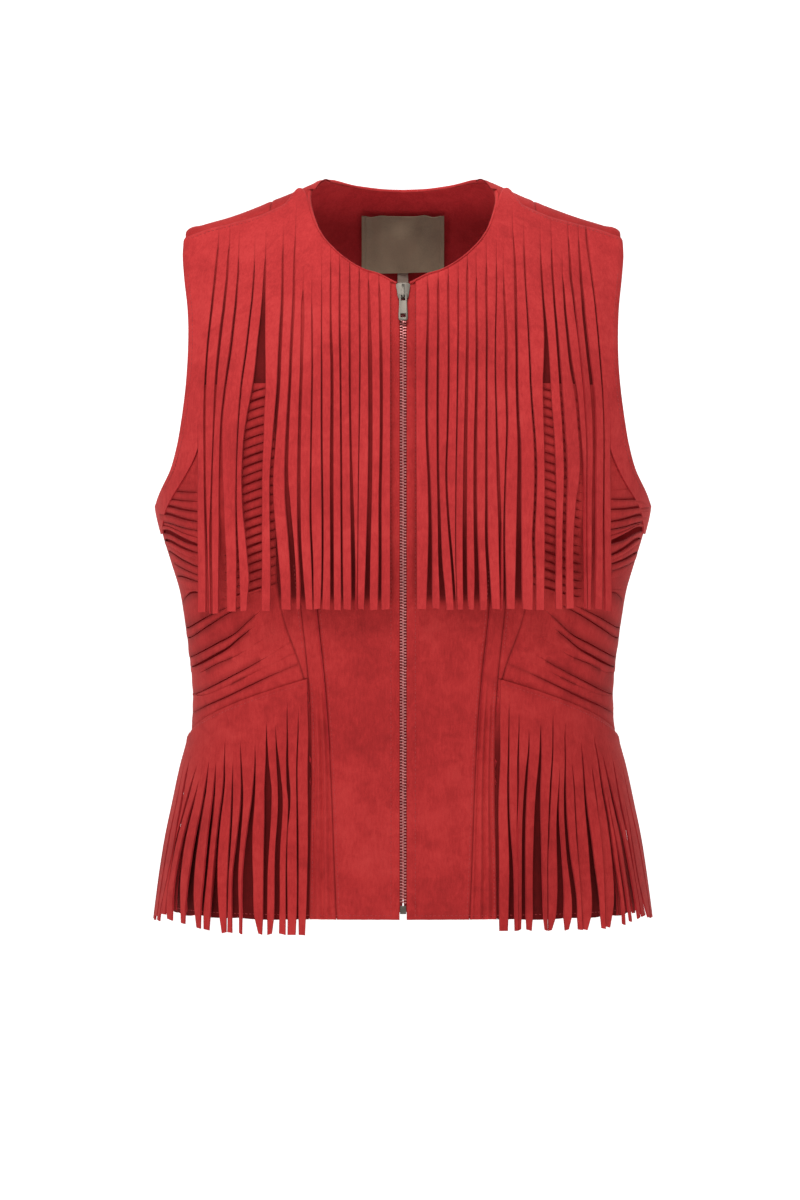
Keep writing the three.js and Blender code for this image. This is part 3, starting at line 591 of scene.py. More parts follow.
# Creases: face of the garment (f front, b back, s side), ends as (across, height), half width, depth (mm, minus is
# a trough). On the side faces "across" is y.
CREASES = [
    # front body below the fringe
    ("f", -58, -352, -22, -361, 6, -0.7), ("f", -60, -372, -34, -381, 5, -0.5), ("f", -14, -346, -34, -386, 7, 0.6),
    ("f", -52, -402, -16, -396, 8, -0.6), ("f", -30, -420, -34, -520, 9, 0.8), ("f", -18, -448, -14, -552, 7, -0.5),
    ("f", -50, -470, -40, -560, 6, -0.5), ("f", 16, -350, 50, -366, 7, -0.6), ("f", 56, -378, 30, -392, 6, -0.6),
    ("f", 12, -398, 44, -410, 8, 0.6), ("f", 34, -430, 30, -545, 9, 0.8), ("f", 17, -470, 20, -560, 6, -0.5),
    ("f", 52, -440, 42, -500, 6, -0.6), ("f", -40, -520, -12, -530, 6, -0.4), ("f", 14, -505, 40, -515, 6, -0.4),
    # yoke, faint drags from the armhole
    ("f", -150, -78, -118, -70, 6, -0.5), ("f", -146, -104, -112, -92, 7, -0.6), ("f", 148, -80, 116, -72, 6, -0.6),
    ("f", 152, -108, 112, -95, 7, -0.5), ("f", -98, -40, -92, -72, 6, 0.5), ("f", 100, -38, 94, -76, 6, 0.5),
    ("f", -66, -66, -44, -88, 5, -0.4), ("f", 64, -64, 42, -88, 5, -0.4),
    # back: soft folds across the waist, drags from the armholes, slight hollow between the shoulders
    ("b", -96, -366, -12, -378, 9, -1.6), ("b", 20, -372, 104, -360, 9, -1.5), ("b", -70, -398, 34, -404, 8, -1.3),
    ("b", 6, -424, 88, -417, 9, -1.2), ("b", -104, -430, -30, -438, 9, -1.0), ("b", -52, -346, 26, -350, 7, -0.9),
    ("b", -60, -384, 20, -389, 7, 1.0), ("b", 28, -392, 92, -384, 7, 0.9), ("b", -130, -210, -84, -170, 10, -1.3),
    ("b", 132, -214, 82, -176, 10, -1.2), ("b", -120, -168, -70, -136, 8, -0.8), ("b", 122, -164, 66, -130, 8, -0.8),
    ("b", -30, -120, -24, -250, 14, -0.9), ("b", 30, -110, 26, -240, 14, -0.9), ("b", 0, -470, 4, -570, 10, 1.0),
    ("b", -44, -480, -50, -572, 9, -0.9), ("b", 46, -486, 52, -574, 9, -0.9), ("b", -90, -500, -104, -574, 9, 0.8),
    ("b", 92, -500, 104, -574, 9, 0.8), ("b", -140, -60, -96, -46, 8, -0.7), ("b", 138, -62, 98, -48, 8, -0.7),
    # sides
    ("l", 30, -372, 78, -360, 7, -1.2), ("l", 24, -402, 84, -394, 7, -1.2), ("l", 18, -430, 76, -424, 8, -1.0),
    ("l", 40, -300, 90, -330, 9, -0.8), ("l", 34, -500, 60, -570, 8, 0.9),
    ("r", 28, -368, 80, -356, 7, -1.2), ("r", 22, -398, 78, -392, 7, -1.1), ("r", 20, -434, 80, -426, 8, -1.1),
    ("r", 44, -296, 92, -322, 9, -0.8), ("r", 38, -498, 64, -572, 8, 0.9),
]


def creases(P):
    """Height of the listed creases and of the slow undulation of the hide, at points P (mm)."""
    x, y, z = P[..., 0], P[..., 1], P[..., 2]
    out = 0.22 * np.sin(x / 23 + z / 61 + 1.3) * np.sin(z / 47 - x / 90) + 0.14 * np.sin(x / 9.5 + z / 31 + 0.4)
    out = out + 0.16 * np.sin(z / 15 + x / 27 + y / 19 + 2.0) * np.sin(x / 37 + 0.7)
    for face, a0, z0, a1, z1, half, depth in CREASES:
        if face in "fb":
            on = (y < 0) if face == "f" else (y > 0)
            a = x
        else:
            on = (x < -60) if face == "l" else (x > 60)
            a = y
        dx, dz = a1 - a0, z1 - z0
        length = math.hypot(dx, dz)
        s = ((a - a0) * dx + (z - z0) * dz) / length
        wander = 0.12 * half * np.sin(s / 7.0 + a0) + 0.2 * half * np.sin(s / 17.0 + z0)
        off = ((a - a0) * dz - (z - z0) * dx) / length - wander
        f = s / length
        ends = smooth(-0.18, 0.25, f) * smooth(1.18, 0.75, f)
        out = out + np.where(on, depth * ends * np.exp(-(off / half) ** 2), 0)
    return out


def roll(d, depth=0.55, width=1.6):
    return -depth * np.exp(-(d / width) ** 2)


def lay(th, t, lift):
    return surf(th, t) + norm(th, t) * np.asarray(lift, float)[..., None]


MIRROR = np.array([-1.0, 1.0, 1.0])


def finer(A, where):
    """The grid A with two more rows of points beside the edges named in where."""
    def beside(B):
        f = np.array([0.16, 0.42]).reshape(2, *([1] * (B.ndim - 1)))
        return np.concatenate([B[:1], B[:1] * (1 - f) + B[1:2] * f, B[1:]])
    if "a" in where:
        A = beside(A)
    if "b" in where:
        A = beside(A[::-1])[::-1]
    if "c" in where:
        A = beside(A.swapaxes(0, 1)).swapaxes(0, 1)
    if "d" in where:
        A = beside(A.swapaxes(0, 1)[::-1])[::-1].swapaxes(0, 1)
    return A


def base_panel(name, table, blocks, side, joins=(), across=4.2, gap=0.09, sheet=None, extra=None, fine=None, painted_shade=None):
    """A panel of the base layer. blocks: ((i0, i1, j0, j1), seams), where seams names the edges that are sewn: a inner,
    b outer, c lower, d upper. joins: (block, edge, block, edge) makes the first edge the same as the second."""
    mirror = MIRROR if side < 0 else np.ones(3)
    grids, cuts = [], []
    for k, (cells, seam) in enumerate(blocks):
        th, t = stations(table, *cells, across)
        where = seam if fine is None else fine[k]
        th, t = finer(th, where), finer(t, where)
        lift = np.zeros(th.shape)
        cut = np.zeros(th.shape)
        for key, d in zip("abcd", edge_distance(surf(th, t))):
            if key in seam:
                lift = lift - 0.5 * np.exp(-(d / 0.9) ** 2) + 0.18 * np.exp(-((d - 3.6) / 2.0) ** 2)
                cut = np.maximum(cut, 0.5 * np.exp(-(d / 0.7) ** 2))
        Q = lay(th, t, lift) * mirror
        height = creases(Q)
        if extra is not None:
            height = height + extra(th, t, Q)
        Q = Q + norm(th, t) * mirror * height[..., None]
        # painted shade: the face is coloured darker through the cut attribute where a fringe hangs over it
        if painted_shade is not None:
            cut = np.maximum(cut, painted_shade(Q))
        cuts.append(cut)
        grids.append(inset(Q, gap, seam))
    at = {"a": (0, slice(None)), "b": (-1, slice(None)), "c": (slice(None), 0), "d": (slice(None), -1)}
    for k, edge, k2, edge2 in joins:
        grids[k][at[edge]] = grids[k2][at[edge2]]
        cuts[k][at[edge]] = cuts[k2][at[edge2]]
    sheet = sheet or Sheet("vest_" + name, [SUEDE, SUEDE_IN], node=name)
    for Q, cut in zip(grids, cuts):
        sheet.grid(Q, flip=(side < 0) != (table is BACK), cut=cut)
    return sheet


def inset(Q, gap, seam):
    Q = Q.copy()

    def pull(edge, nxt):
        d = nxt - edge
        return edge + d / np.maximum(np.linalg.norm(d, axis=-1, keepdims=True), 1e-6) * gap
    if "a" in seam:
        Q[0] = pull(Q[0], Q[1])
    if "b" in seam:
        Q[-1] = pull(Q[-1], Q[-2])
    if "c" in seam:
        Q[:, 0] = pull(Q[:, 0], Q[:, 1])
    if "d" in seam:
        Q[:, -1] = pull(Q[:, -1], Q[:, -2])
    return Q


# ------------------------------------------------------------------------------------------------- base panels
def placket(th, t, Q):
    """The folded front edge beside the zip stands a little proud."""
    x = np.abs(Q[..., 0])
    return 0.75 * np.exp(-((x - 6.2) / 2.6) ** 2) - 0.45 * np.exp(-((x - 10.3) / 0.9) ** 2)


def ribs(th, t, Q):
    """Soft upright ribs of the narrow strip beside the princess seam."""
    z = Q[..., 2]
    low = smooth(-380, -430, z)
    u = (np.abs(Q[..., 0]) - column_x[C_PRINCESS](z)) / (column_x[C_STRIP](z) - column_x[C_PRINCESS](z))
    inside = smooth(0.0, 0.16, u) * smooth(1.0, 0.84, u)
    return low * inside * (0.85 * np.cos(2 * math.pi * (u * 3.1 + 0.06 * np.sin(z / 40))) - 0.25 * np.sin(u * 21 + z / 60))


def shaded_by_fringe(Q):
    """Painted shade: the face of the base layer behind the strips is coloured darker, where the fringe shades it."""
    x, z = np.abs(Q[..., 0]), Q[..., 2]
    outer = smooth(88, 104, x)
    depth = (1 - outer) * (0.5 * smooth(-80, -200, z) + 0.35 * smooth(-230, -300, z)) + outer * 0.88 * smooth(-48, -110, z)
    return depth * smooth(-332.5, -324, z) * smooth(8, 12, x)


def shaded_by_hip(Q):
    # Painted shade: the panel under the hip fringe is coloured darker below the fringe's top.
    return 0.92 * smooth(-400, -450, Q[..., 2])


sheets = {}
for side, tag in ((1, "R"), (-1, "L")):
    sheets["front_centre_" + tag] = base_panel(
        "front_centre_" + tag, FRONT, [((0, C_PRINCESS, 0, TOP), "b")], side, extra=placket, painted_shade=shaded_by_fringe)
    sheets["front_strip_" + tag] = base_panel(
        "front_strip_" + tag, FRONT, [((C_PRINCESS, C_STRIP, 0, TOP), "ab")], side, across=1.7, extra=ribs, painted_shade=shaded_by_fringe)
    sheets["front_bust_" + tag] = base_panel(
        "front_bust_" + tag, FRONT,
        [((C_STRIP, C_SLASH, R_WAIST, R_SLASH), "abc"), ((C_STRIP, C_SLASH, R_SLASH, TOP), "a"),
         ((C_SLASH, C_SIDE, R_SLASH, TOP), "c")], side, joins=[(0, "d", 1, "c"), (2, "a", 1, "b")],
        fine=["abc", "ab", "ab"], painted_shade=shaded_by_fringe)
    sheets["hip_under_" + tag] = base_panel(
        "hip_under_" + tag, FRONT, [((C_STRIP, C_SIDE, 0, R_WAIST), "abd")], side, painted_shade=shaded_by_hip)
    sheets["back_side_" + tag] = base_panel(
        "back_side_" + tag, BACK, [((B_SEAM, B_SIDE, 0, TOP), "ab")], side)
back = None
for side in (1, -1):
    back = base_panel("back_centre", BACK, [((0, B_SEAM, 0, TOP), "b")], side, sheet=back)
sheets["back_centre"] = back


# ------------------------------------------------------------------------------------------------- seam allowances
def allowance(key, th, z, rear=False, wide=5.5, level=False):
    """The pressed-open allowance behind a seam that runs through the points (th, z)."""
    th, z = np.broadcast_arrays(np.asarray(th, float), np.asarray(z, float))
    sign = 1 if rear else -1
    off = np.linspace(-wide, wide, 5)
    TH, Z = np.zeros((5, len(th))), np.zeros((5, len(th)))
    per = np.linalg.norm(surf(th + 0.01, sign * drop_t(th + 0.01, z)) - surf(th, sign * drop_t(th, z)), axis=-1) / 0.01
    for c in range(5):
        TH[c] = np.clip(th + (0 if level else off[c] / per), 0, math.pi / 2 - 1e-4)
        Z[c] = z + (off[c] if level else 0)
    T = sign * drop_t(TH, Z)
    for side, tag in ((1, "R"), (-1, "L")):
        m = MIRROR if side < 0 else np.ones(3)
        P = surf(TH, T) * m
        n = norm(TH, T) * m
        P = P + n * (creases(P) - 1.95 - 0.12 * np.cos(Z / 9.0 + side))[..., None]
        sheet = Sheet("vest_allowance_" + key + "_" + tag, [SUEDE_IN], thick=0.9)
        sheet.grid(P, flip=((side < 0) != rear) != level)
        sheets["allowance_" + key + "_" + tag] = sheet


zz = np.linspace(-574, -84, 110)
allowance("princess", th_of(column_x[C_PRINCESS](zz), zz), zz)
zz = np.linspace(-574, -120, 110)
allowance("strip", th_of(column_x[C_STRIP](zz), zz), zz)
zz = np.linspace(-386, -164, 60)
allowance("slash", th_of(column_x[C_SLASH](zz), zz), zz)
tt = np.linspace(float(th_of(column_x[C_STRIP](-389.0), -389.0)) + 0.03, 88 * RAD, 60)
allowance("waist", tt, row_z(ROW_F[R_WAIST], ROW_S[R_WAIST], tt), level=True)
zz = np.linspace(-574, -80, 110)
allowance("back", th_of(back_seam_x(zz), zz), zz, rear=True)
zz = np.linspace(-574, -262, 70)
allowance("side", np.full(zz.shape, 90 * RAD), zz, wide=10.5)


# ------------------------------------------------------------------------------------------------- chest overlay
# Slits of the chest fringe, each as rows of (y, x, width) in the frame of the front view, 800 by 1200, from the
# armhole to the zip on the viewer's left, and from the zip to the armhole on the right.
CHEST_LEFT = [
    [(449, 199, 0), (612, 199, 0)],
    [(245, 219, 0), (256, 218, .9), (305, 213, 1.6), (345, 209, 1.6), (400, 206, 1.8), (460, 206, 1.8), (545, 208, 2), (612, 208.5, 2.6)],
    [(245, 230, 0), (256, 229, .8), (285, 227, 1.5), (330, 222, 1.8), (370, 218, 1.8), (400, 216, 1.5), (440, 214, .6), (500, 212.4, .8), (530, 212, 1.6), (612, 212.4, 2)],
    [(258, 239, 0), (275, 238.5, .9), (310, 236, 1.6), (350, 232, 1.8), (385, 227, 1.6), (420, 223, 1.8), (460, 222, 3), (500, 222.4, 4.4), (530, 223, 5), (560, 223.4, 7), (612, 223.5, 8)],
    [(262, 255, 0), (275, 254.5, .8), (310, 252, 1.5), (350, 248, 1.5), (385, 243, 1.2), (420, 240, .7), (470, 238, .8), (500, 237.6, 1.5), (530, 238, 2.2), (560, 239, 2.8), (612, 239.6, 4)],
    [(256, 266, 0), (272, 265.3, 1.2), (295, 264.6, 2.4), (320, 264, 4), (340, 263, 6), (380, 261, 10), (420, 256.5, 15), (440, 255, 17), (480, 253.5, 17), (510, 254, 16), (530, 255, 14), (560, 256.4, 12), (580, 257, 10.5), (600, 256, 12), (612, 255.5, 12)],
    [(248, 284, 0), (262, 283.5, .9), (310, 283, 1.6), (350, 281, 1.8), (390, 279, 2), (440, 275, 2.2), (480, 272.3, 2.4), (500, 272.4, 2.6), (535, 274, 4.5), (560, 275.4, 6), (585, 276.5, 7.5), (612, 276.8, 8.6)],
    [(238, 296, 0), (260, 295, .7), (310, 294, 1.2), (350, 292, 1.5), (390, 290, 1.8), (430, 288, 2), (480, 287, 2.2), (500, 288, 3.6), (540, 291.4, 4.2), (580, 293.6, 4.4), (612, 294, 4)],
    [(290, 303.5, 0), (305, 303, 2), (320, 303, 2.5), (360, 302, 2), (420, 300, 2), (500, 299, 2.4), (540, 299.6, 2.8), (580, 301.8, 3.2), (612, 303.4, 5)],
    [(300, 312, 0), (330, 312.5, 1), (480, 311, 1), (520, 311, 1.5), (560, 312.6, 1.5), (612, 313.5, .6)],
    [(280, 322, 0), (330, 322, .6), (420, 322, 1.1), (600, 322, 1.3), (612, 321.5, 2)],
    [(262, 331, 0), (285, 331, .8), (330, 331.5, 1.4), (350, 332, 2), (480, 332, 2.6), (600, 332.5, 2.6), (612, 332.5, 3)],
    [(262, 340, 0), (290, 340, 1), (400, 341, 1), (560, 342, 1.1), (612, 342.5, 1.5)],
    [(262, 350, 0), (290, 350, .9), (400, 350, .9), (460, 351, 1.2), (480, 351.5, 2), (540, 353, 3), (605, 354, 4), (612, 354, 4.5)],
    [(268, 359.5, 0), (290, 359.5, 1), (340, 360, 1), (400, 359.6, .5), (480, 358.4, .35), (560, 357.6, .35), (612, 357.4, .35)],
    [(280, 368.5, 0), (295, 369, 1.2), (350, 370, 3), (480, 370, 3.2), (560, 368, 3.6), (612, 366.8, 4.4)],
    [(282, 379, 0), (295, 379.5, 1.1), (360, 381, 1.9), (450, 381, 1.9), (500, 380, 2), (560, 380, 2.2), (612, 379.5, 2.6)],
    [(288, 390.6, 0), (330, 390.8, .7), (450, 391, 1), (612, 391.2, 1.6)],
]
CHEST_LEFT_ENDS = [612, 613, 613.5, 611.5, 611, 611, 609.5, 609, 609.5, 609, 609.5, 610, 609.5, 610, 609, 610, 609.5]
CHEST_RIGHT = [
    [(288, 415.4, 0), (330, 415.2, .7), (450, 415.2, 1), (612, 415.4, 1.6)],
    [(283, 427.5, 0), (295, 428, .9), (350, 427, 1.7), (440, 427, 1.7), (480, 429, 2), (520, 430, 2.6), (612, 429, 4.6)],
    [(278, 438, 0), (292, 438, 1.2), (480, 438, 1.6), (520, 439, 2.2), (560, 440, 3), (605, 442.6, 5), (612, 442.8, 6)],
    [(273, 448, 0), (290, 448, 1), (400, 448, 1.2), (440, 447, 1), (470, 446, 1.2), (530, 449, 1.6), (560, 451.6, 1.8), (612, 455, 2)],
    [(278, 458, 0), (295, 458, .9), (400, 457, .8), (500, 455.6, .5), (560, 455.4, .35), (612, 457, .35)],
    [(262, 467, 0), (275, 467, 1), (340, 467, 1.5), (400, 466, 2), (460, 465, 2.6), (605, 465.3, 3.4), (612, 465.5, 5)],
    [(276, 476, 0), (292, 476, 1.2), (390, 476, 1.8), (440, 475, 2.2), (520, 475, 2.8), (580, 476.5, 3.6), (612, 476.6, 5)],
    [(262, 486, 0), (278, 486, 1), (500, 486, 1.6), (540, 486, 2), (590, 488.5, 2.6), (612, 489, 4)],
    [(262, 496, 0), (280, 496, .7), (350, 494.6, .8), (420, 496, 1), (480, 498, 2.4), (520, 499.4, 2.6), (560, 500, 2.6), (612, 500.6, 1.4)],
    [(278, 503, 0), (295, 503.6, .9), (330, 505, 1.4), (380, 505.4, 1.3), (420, 506.4, 1), (480, 504.6, .7), (540, 503.4, 1), (600, 504, 2.4), (612, 504, 3)],
    [(232, 512, 0), (260, 514, .9), (330, 515, 1.4), (420, 517, 2), (440, 518, 2.4), (500, 518, 3), (560, 517.6, 4.5), (600, 517.6, 5.6), (612, 518, 6)],
    [(246, 523, 0), (262, 523.5, .9), (320, 526, 1), (400, 530.4, 1), (450, 534, 1.6), (470, 534.5, 2), (500, 533.8, 2), (540, 532, 2), (570, 533, 2), (612, 533, 2)],
    [(252, 540, 0), (270, 540.5, 1), (300, 542, 2), (340, 544.6, 4), (380, 545.4, 7), (400, 546, 7.6), (440, 548, 9), (480, 549, 9.6), (520, 549, 10), (560, 548.8, 10), (590, 548.4, 10), (612, 548.4, 10)],
    [(248, 551, 0), (262, 551.3, .9), (310, 554, 1.6), (370, 558, 1.8), (430, 562, 1.9), (470, 563.8, 2.2), (530, 563, 2.6), (612, 563, 3)],
    [(276, 562, 0), (290, 563, 1.1), (330, 566, 2.1), (370, 570.4, 3), (395, 575, 2.4), (430, 578, 2.2), (460, 580, 2.6), (482, 580, 4.5), (500, 579, 7.6), (540, 577.8, 9.6), (570, 577.8, 9.6), (612, 578, 9)],
    [(236, 567.5, 0), (250, 568.5, .9), (280, 570.5, 1.3), (312, 574.4, 1), (350, 578.6, .5), (400, 583.4, .35), (440, 585.6, .35), (500, 585.6, .35), (612, 586, .35)],
    [(238, 578, 0), (255, 578.8, 1), (305, 582, 1.6), (355, 587, 1.9), (400, 591.6, 2), (440, 593, 1.5), (480, 592.6, 1.6), (510, 592, 2.4), (560, 591.6, 2.6), (612, 591.2, 3)],
    [(228, 585, 0), (240, 586, .8), (265, 589, 1.2), (300, 593, 1.5), (340, 597, 1.7), (380, 600, 1.7), (420, 601.8, 1.5), (480, 602, 1.5), (520, 601.2, 1.8), (612, 601.4, 2.2)],
    [(449, 609, 0), (612, 609.4, 0)],
]
CHEST_RIGHT_ENDS = [609, 608.5, 610, 609.5, 609.5, 609.5, 610, 609, 609.5, 609, 609.5, 610, 609, 608.5, 608.5, 609.5, 609, 611, 612]


def chest_point(x, z, lift):
    """Point over the chest: on the garment's surface down to the bust, then hanging plumb. x may be negative."""
    x, z, lift = np.broadcast_arrays(np.asarray(x, float), np.asarray(z, float), np.asarray(lift, float))
    ax = np.abs(x)
    high = np.maximum(z, Z_PLUMB)
    th = th_of(ax, high)
    t = -drop_t(th, high)
    base, n = surf(th, t), norm(th, t)
    level = n * np.array([1, 1, 0.0])
    level = level / np.maximum(np.linalg.norm(level, axis=-1, keepdims=True), 1e-9)
    below = smooth(Z_PLUMB + 14, Z_PLUMB - 6, z)[..., None]
    n = n * (1 - below) + level * below
    P = base + n * lift[..., None]
    P[..., 2] += z - high
    return P * np.where(x[..., None] < 0, MIRROR, np.ones(3))


def to_mm(px, py, place=chest_point):
    """Where a point of the front view lies on the form: x and z in mm."""
    y = -90.0
    for _ in range(6):
        k = (3000 + y) / 3750
        x, z = (px - 403) * k - 2.4 * (1 - k / 0.8) * 0, -328 + (600 - py) * k
        y = float(place(x, z, 2.0)[1])
    return x, z, (3000 + y) / 3750


class Slit:
    """A slit in mm: where its middle and its width lie at each height."""

    def __init__(self, rows):
        pts = []
        for py, px, w in rows:
            x, z, k = to_mm(px, py)
            pts.append((z, x, (w * 1.2 + 0.35) * k if w > 0 else 0))
        pts.sort()
        self.z0, self.z1 = pts[0][0], pts[-1][0]
        self.x = curve([(z, x) for z, x, _ in pts])
        self.wz, self.ww = [p[0] for p in pts], [p[2] for p in pts]

    def width(self, z):
        return np.where(z > self.z1, 0.0, np.interp(z, self.wz, self.ww))

    def edge(self, z, side):
        """side -1 is the edge at the viewer's left of the slit, +1 the one at the right."""
        return self.x(z) + side * self.width(z) / 2


Z300 = to_mm(350, 300)[1]
YOKE_F = np.concatenate([[0, 0.004, 0.011, 0.022], np.linspace(0.04, 1, 21)])
YOKE_ROWS = len(YOKE_F)
LIFT_TOP = 1.9


STRIP_U = np.array([0, 0.08, 0.28, 0.5, 0.72, 0.92, 1.0])


def fringe_strip(sheet, left, right, z_end, seed, place, top_z, mid_z, push, sway=1.0, columns=7, step=4.6, slant=0.0, floor=1.55):
    """One strip with the part of the yoke above it. left and right are slits; push is how far it stands forward."""
    r = random.Random(seed)
    f = YOKE_F
    rows = int(max(6, math.ceil((mid_z - z_end) / step)))
    u = STRIP_U
    n_all = YOKE_ROWS + rows
    Z = np.zeros((columns, n_all))
    X = np.zeros((columns, n_all))
    for c in range(columns):
        za = np.full(YOKE_ROWS, mid_z)
        for _ in range(8):
            xc = left.x(za) * (1 - u[c]) + right.x(za) * u[c]
            za = top_z(xc) * (1 - f) + mid_z * f
        zb = mid_z + (z_end + slant * (u[c] - 0.5) - mid_z) * (np.arange(1, rows + 1) / rows)
        z = np.concatenate([za, zb])
        Z[c] = z
        X[c] = left.edge(z, 1) * (1 - u[c]) + right.edge(z, -1) * u[c]
    top = max(min(left.z1, right.z1), min(left.z1 if left.z1 > z_end else right.z1, 0))
    start = min(left.z1, right.z1) if min(left.z1, right.z1) > z_end + 30 else max(left.z1, right.z1)
    free = smooth(start, start - 70, Z)
    low = smooth(start - 40, z_end, Z)
    wave = (0.35 * np.sin(Z / r.uniform(17, 26) + r.uniform(0, 6)) + 0.3 * np.sin(Z / r.uniform(40, 62) + r.uniform(0, 6))) * sway
    tilt = (r.uniform(-1, 1) * 0.55 + 0.5 * np.sin(Z / r.uniform(50, 80) + r.uniform(0, 6))) * sway
    curl = r.uniform(-0.15, 0.4)
    s = (u[:, None] - 0.5) * 2
    lift = LIFT_TOP + free * (push + wave * (0.4 + low)) + free * tilt * s * 0.62 + free * curl * (s * s - 0.5) * 0.5
    lift = np.maximum(lift, floor)
    rim = np.exp(-((1 - np.abs(s)) / 0.1) ** 2)
    reach = np.where(s < 0, left.z1, right.z1)
    closed = smooth(reach + r.uniform(24, 40), reach - 4, Z) * (1 - free) * np.where(reach > -240, 1.0, 0.0)
    lift = lift - closed * rim * 0.4
    cut = np.where(np.abs(s) > 0.99, 1.0, 0.0) * np.maximum(free, 0.75 * closed)
    P = place(X, Z, lift)
    return P, cut, Z


def chest_overlay(side):
    tag = "R" if side > 0 else "L"
    table = CHEST_RIGHT if side > 0 else CHEST_LEFT
    ends = CHEST_RIGHT_ENDS if side > 0 else CHEST_LEFT_ENDS
    slits = [Slit(rows) for rows in table]
    top_z = lambda x: front_top_at(np.abs(x))
    sheet = Sheet("vest_chest_overlay_" + tag, [SUEDE_TOP_LIT, SUEDE_IN], node="chest_overlay_" + tag, thick=1.35)
    narrow = {}
    shifts = random.Random(7 if side > 0 else 5)
    outer_strip = len(slits) - 2 if side > 0 else 0
    for k in range(len(slits) - 1):
        a, b = slits[k], slits[k + 1]
        bottom_gap = b.edge(-330.0, -1) - a.edge(-330.0, 1)
        push = shifts.uniform(0.5, 2.3) + (0.5 if k % 2 else 0.0)
        if bottom_gap < 4.6:
            push = 0.15                   # a strip that lies behind its neighbours
        if k == outer_strip:
            push = 0.5
        z_end = to_mm((table[k][-1][1] + table[k + 1][-1][1]) / 2, ends[k])[1]
        P, cut, Z = fringe_strip(sheet, a, b, z_end, 100 * (side + 2) + k, chest_point, top_z, Z300, push,
                                 slant=shifts.uniform(-0.8, 0.8))
        # the seamed edges at the neck and the shoulder turn down, and the yoke shows faint drags
        _, _, c, d = edge_distance(P)
        top_edge = c
        fade = smooth(-190, -120, Z)
        sink = -0.85 * np.exp(-(top_edge / 1.9) ** 2) + 0.28 * np.exp(-((top_edge - 4.5) / 2.0) ** 2)
        n = chest_point(P[..., 0], Z, 1.0) - chest_point(P[..., 0], Z, 0.0)
        P = P + n * (sink + fade * creases(P) * 0.8)[..., None]
        cut = np.maximum(cut, 0.6 * np.exp(-(top_edge / 0.8) ** 2) * (np.abs(P[..., 0]) > 76))
        sheet.grid(P, flip=True, cut=cut)
        if k == outer_strip:
            outer = b if side > 0 else a
    # armhole border above the corner where the outermost strip comes free, then along the armhole to the side seam
    edge_slit = slits[-1] if side > 0 else slits[0]
    z_turn = edge_slit.z1
    f = YOKE_F
    z_end = to_mm((table[outer_strip][-1][1] + table[outer_strip + 1][-1][1]) / 2, ends[outer_strip])[1]
    rows = int(max(6, math.ceil((Z300 - z_end) / 4.6)))
    zb_all = Z300 + (z_end - Z300) * (np.arange(1, rows + 1) / rows)
    zb = zb_all[zb_all > z_turn]
    cols = 7
    X, Z = np.zeros((cols, YOKE_ROWS + len(zb))), np.zeros((cols, YOKE_ROWS + len(zb)))
    for c in range(cols):
        za = np.full(YOKE_ROWS, Z300)
        for _ in range(10):
            inner, arm = np.abs(edge_slit.x(za)), arm_front(za)
            xc = inner + (arm - inner) * c / (cols - 1)
            za = front_top_at(xc) * (1 - f) + Z300 * f
        z = np.concatenate([za, zb])
        inner, arm = np.abs(edge_slit.x(z)), arm_front(z)
        Z[c] = z
        X[c] = inner + (arm - inner) * c / (cols - 1)
    P = chest_point(X, Z, np.full(X.shape, LIFT_TOP))
    a, b, c, d = edge_distance(P)
    n = chest_point(X, Z, 1.0) - chest_point(X, Z, 0.0)
    sink = -0.85 * np.exp(-(c / 1.9) ** 2) + 0.28 * np.exp(-((c - 4.5) / 2.0) ** 2)
    sink = sink - 0.7 * np.exp(-(b / 1.6) ** 2) + 0.25 * np.exp(-((b - 4) / 2) ** 2)
    P = P + n * (sink + smooth(-190, -120, Z) * creases(P * (MIRROR if side < 0 else 1)) * 0.8)[..., None]
    P = P * (MIRROR if side < 0 else 1)
    sheet.grid(P, flip=side > 0, cut=0.6 * np.exp(-(c / 0.8) ** 2))
    z_last = zb[-1]
    zl = np.linspace(z_last, -275, 22)
    th_first = float(th_of(abs(float(edge_slit.x(z_last))), z_last))
    drift = (th_first - border_th(z_last) * RAD) * smooth(-245, z_last, zl)
    th_in = border_th(zl) * RAD + drift
    th_out = np.where(zl <= -252.99, math.pi / 2, th_of(arm_front(zl), zl))
    TH = np.stack([th_in + (th_out - th_in) * c / (cols - 1) for c in range(cols)])
    ZZ = np.broadcast_to(zl, TH.shape)
    T = -drop_t(TH, ZZ)
    P0 = lay(TH, T, np.full(TH.shape, LIFT_TOP))
    a, b, c, d = edge_distance(P0)
    settle = smooth(0, 26, c)
    lift = -0.7 * np.exp(-(b / 1.6) ** 2) + 0.25 * np.exp(-((b - 4) / 2) ** 2) - 0.35 * settle
    P0 = P0 + norm(TH, T) * lift[..., None]
    P0 = P0 * (MIRROR if side < 0 else 1)
    P0[:, 0] = P[:, -1]
    sheet.grid(P0, flip=side > 0)
    return sheet


for side, tag in ((1, "R"), (-1, "L")):
    sheets["chest_overlay_" + tag] = chest_overlay(side)


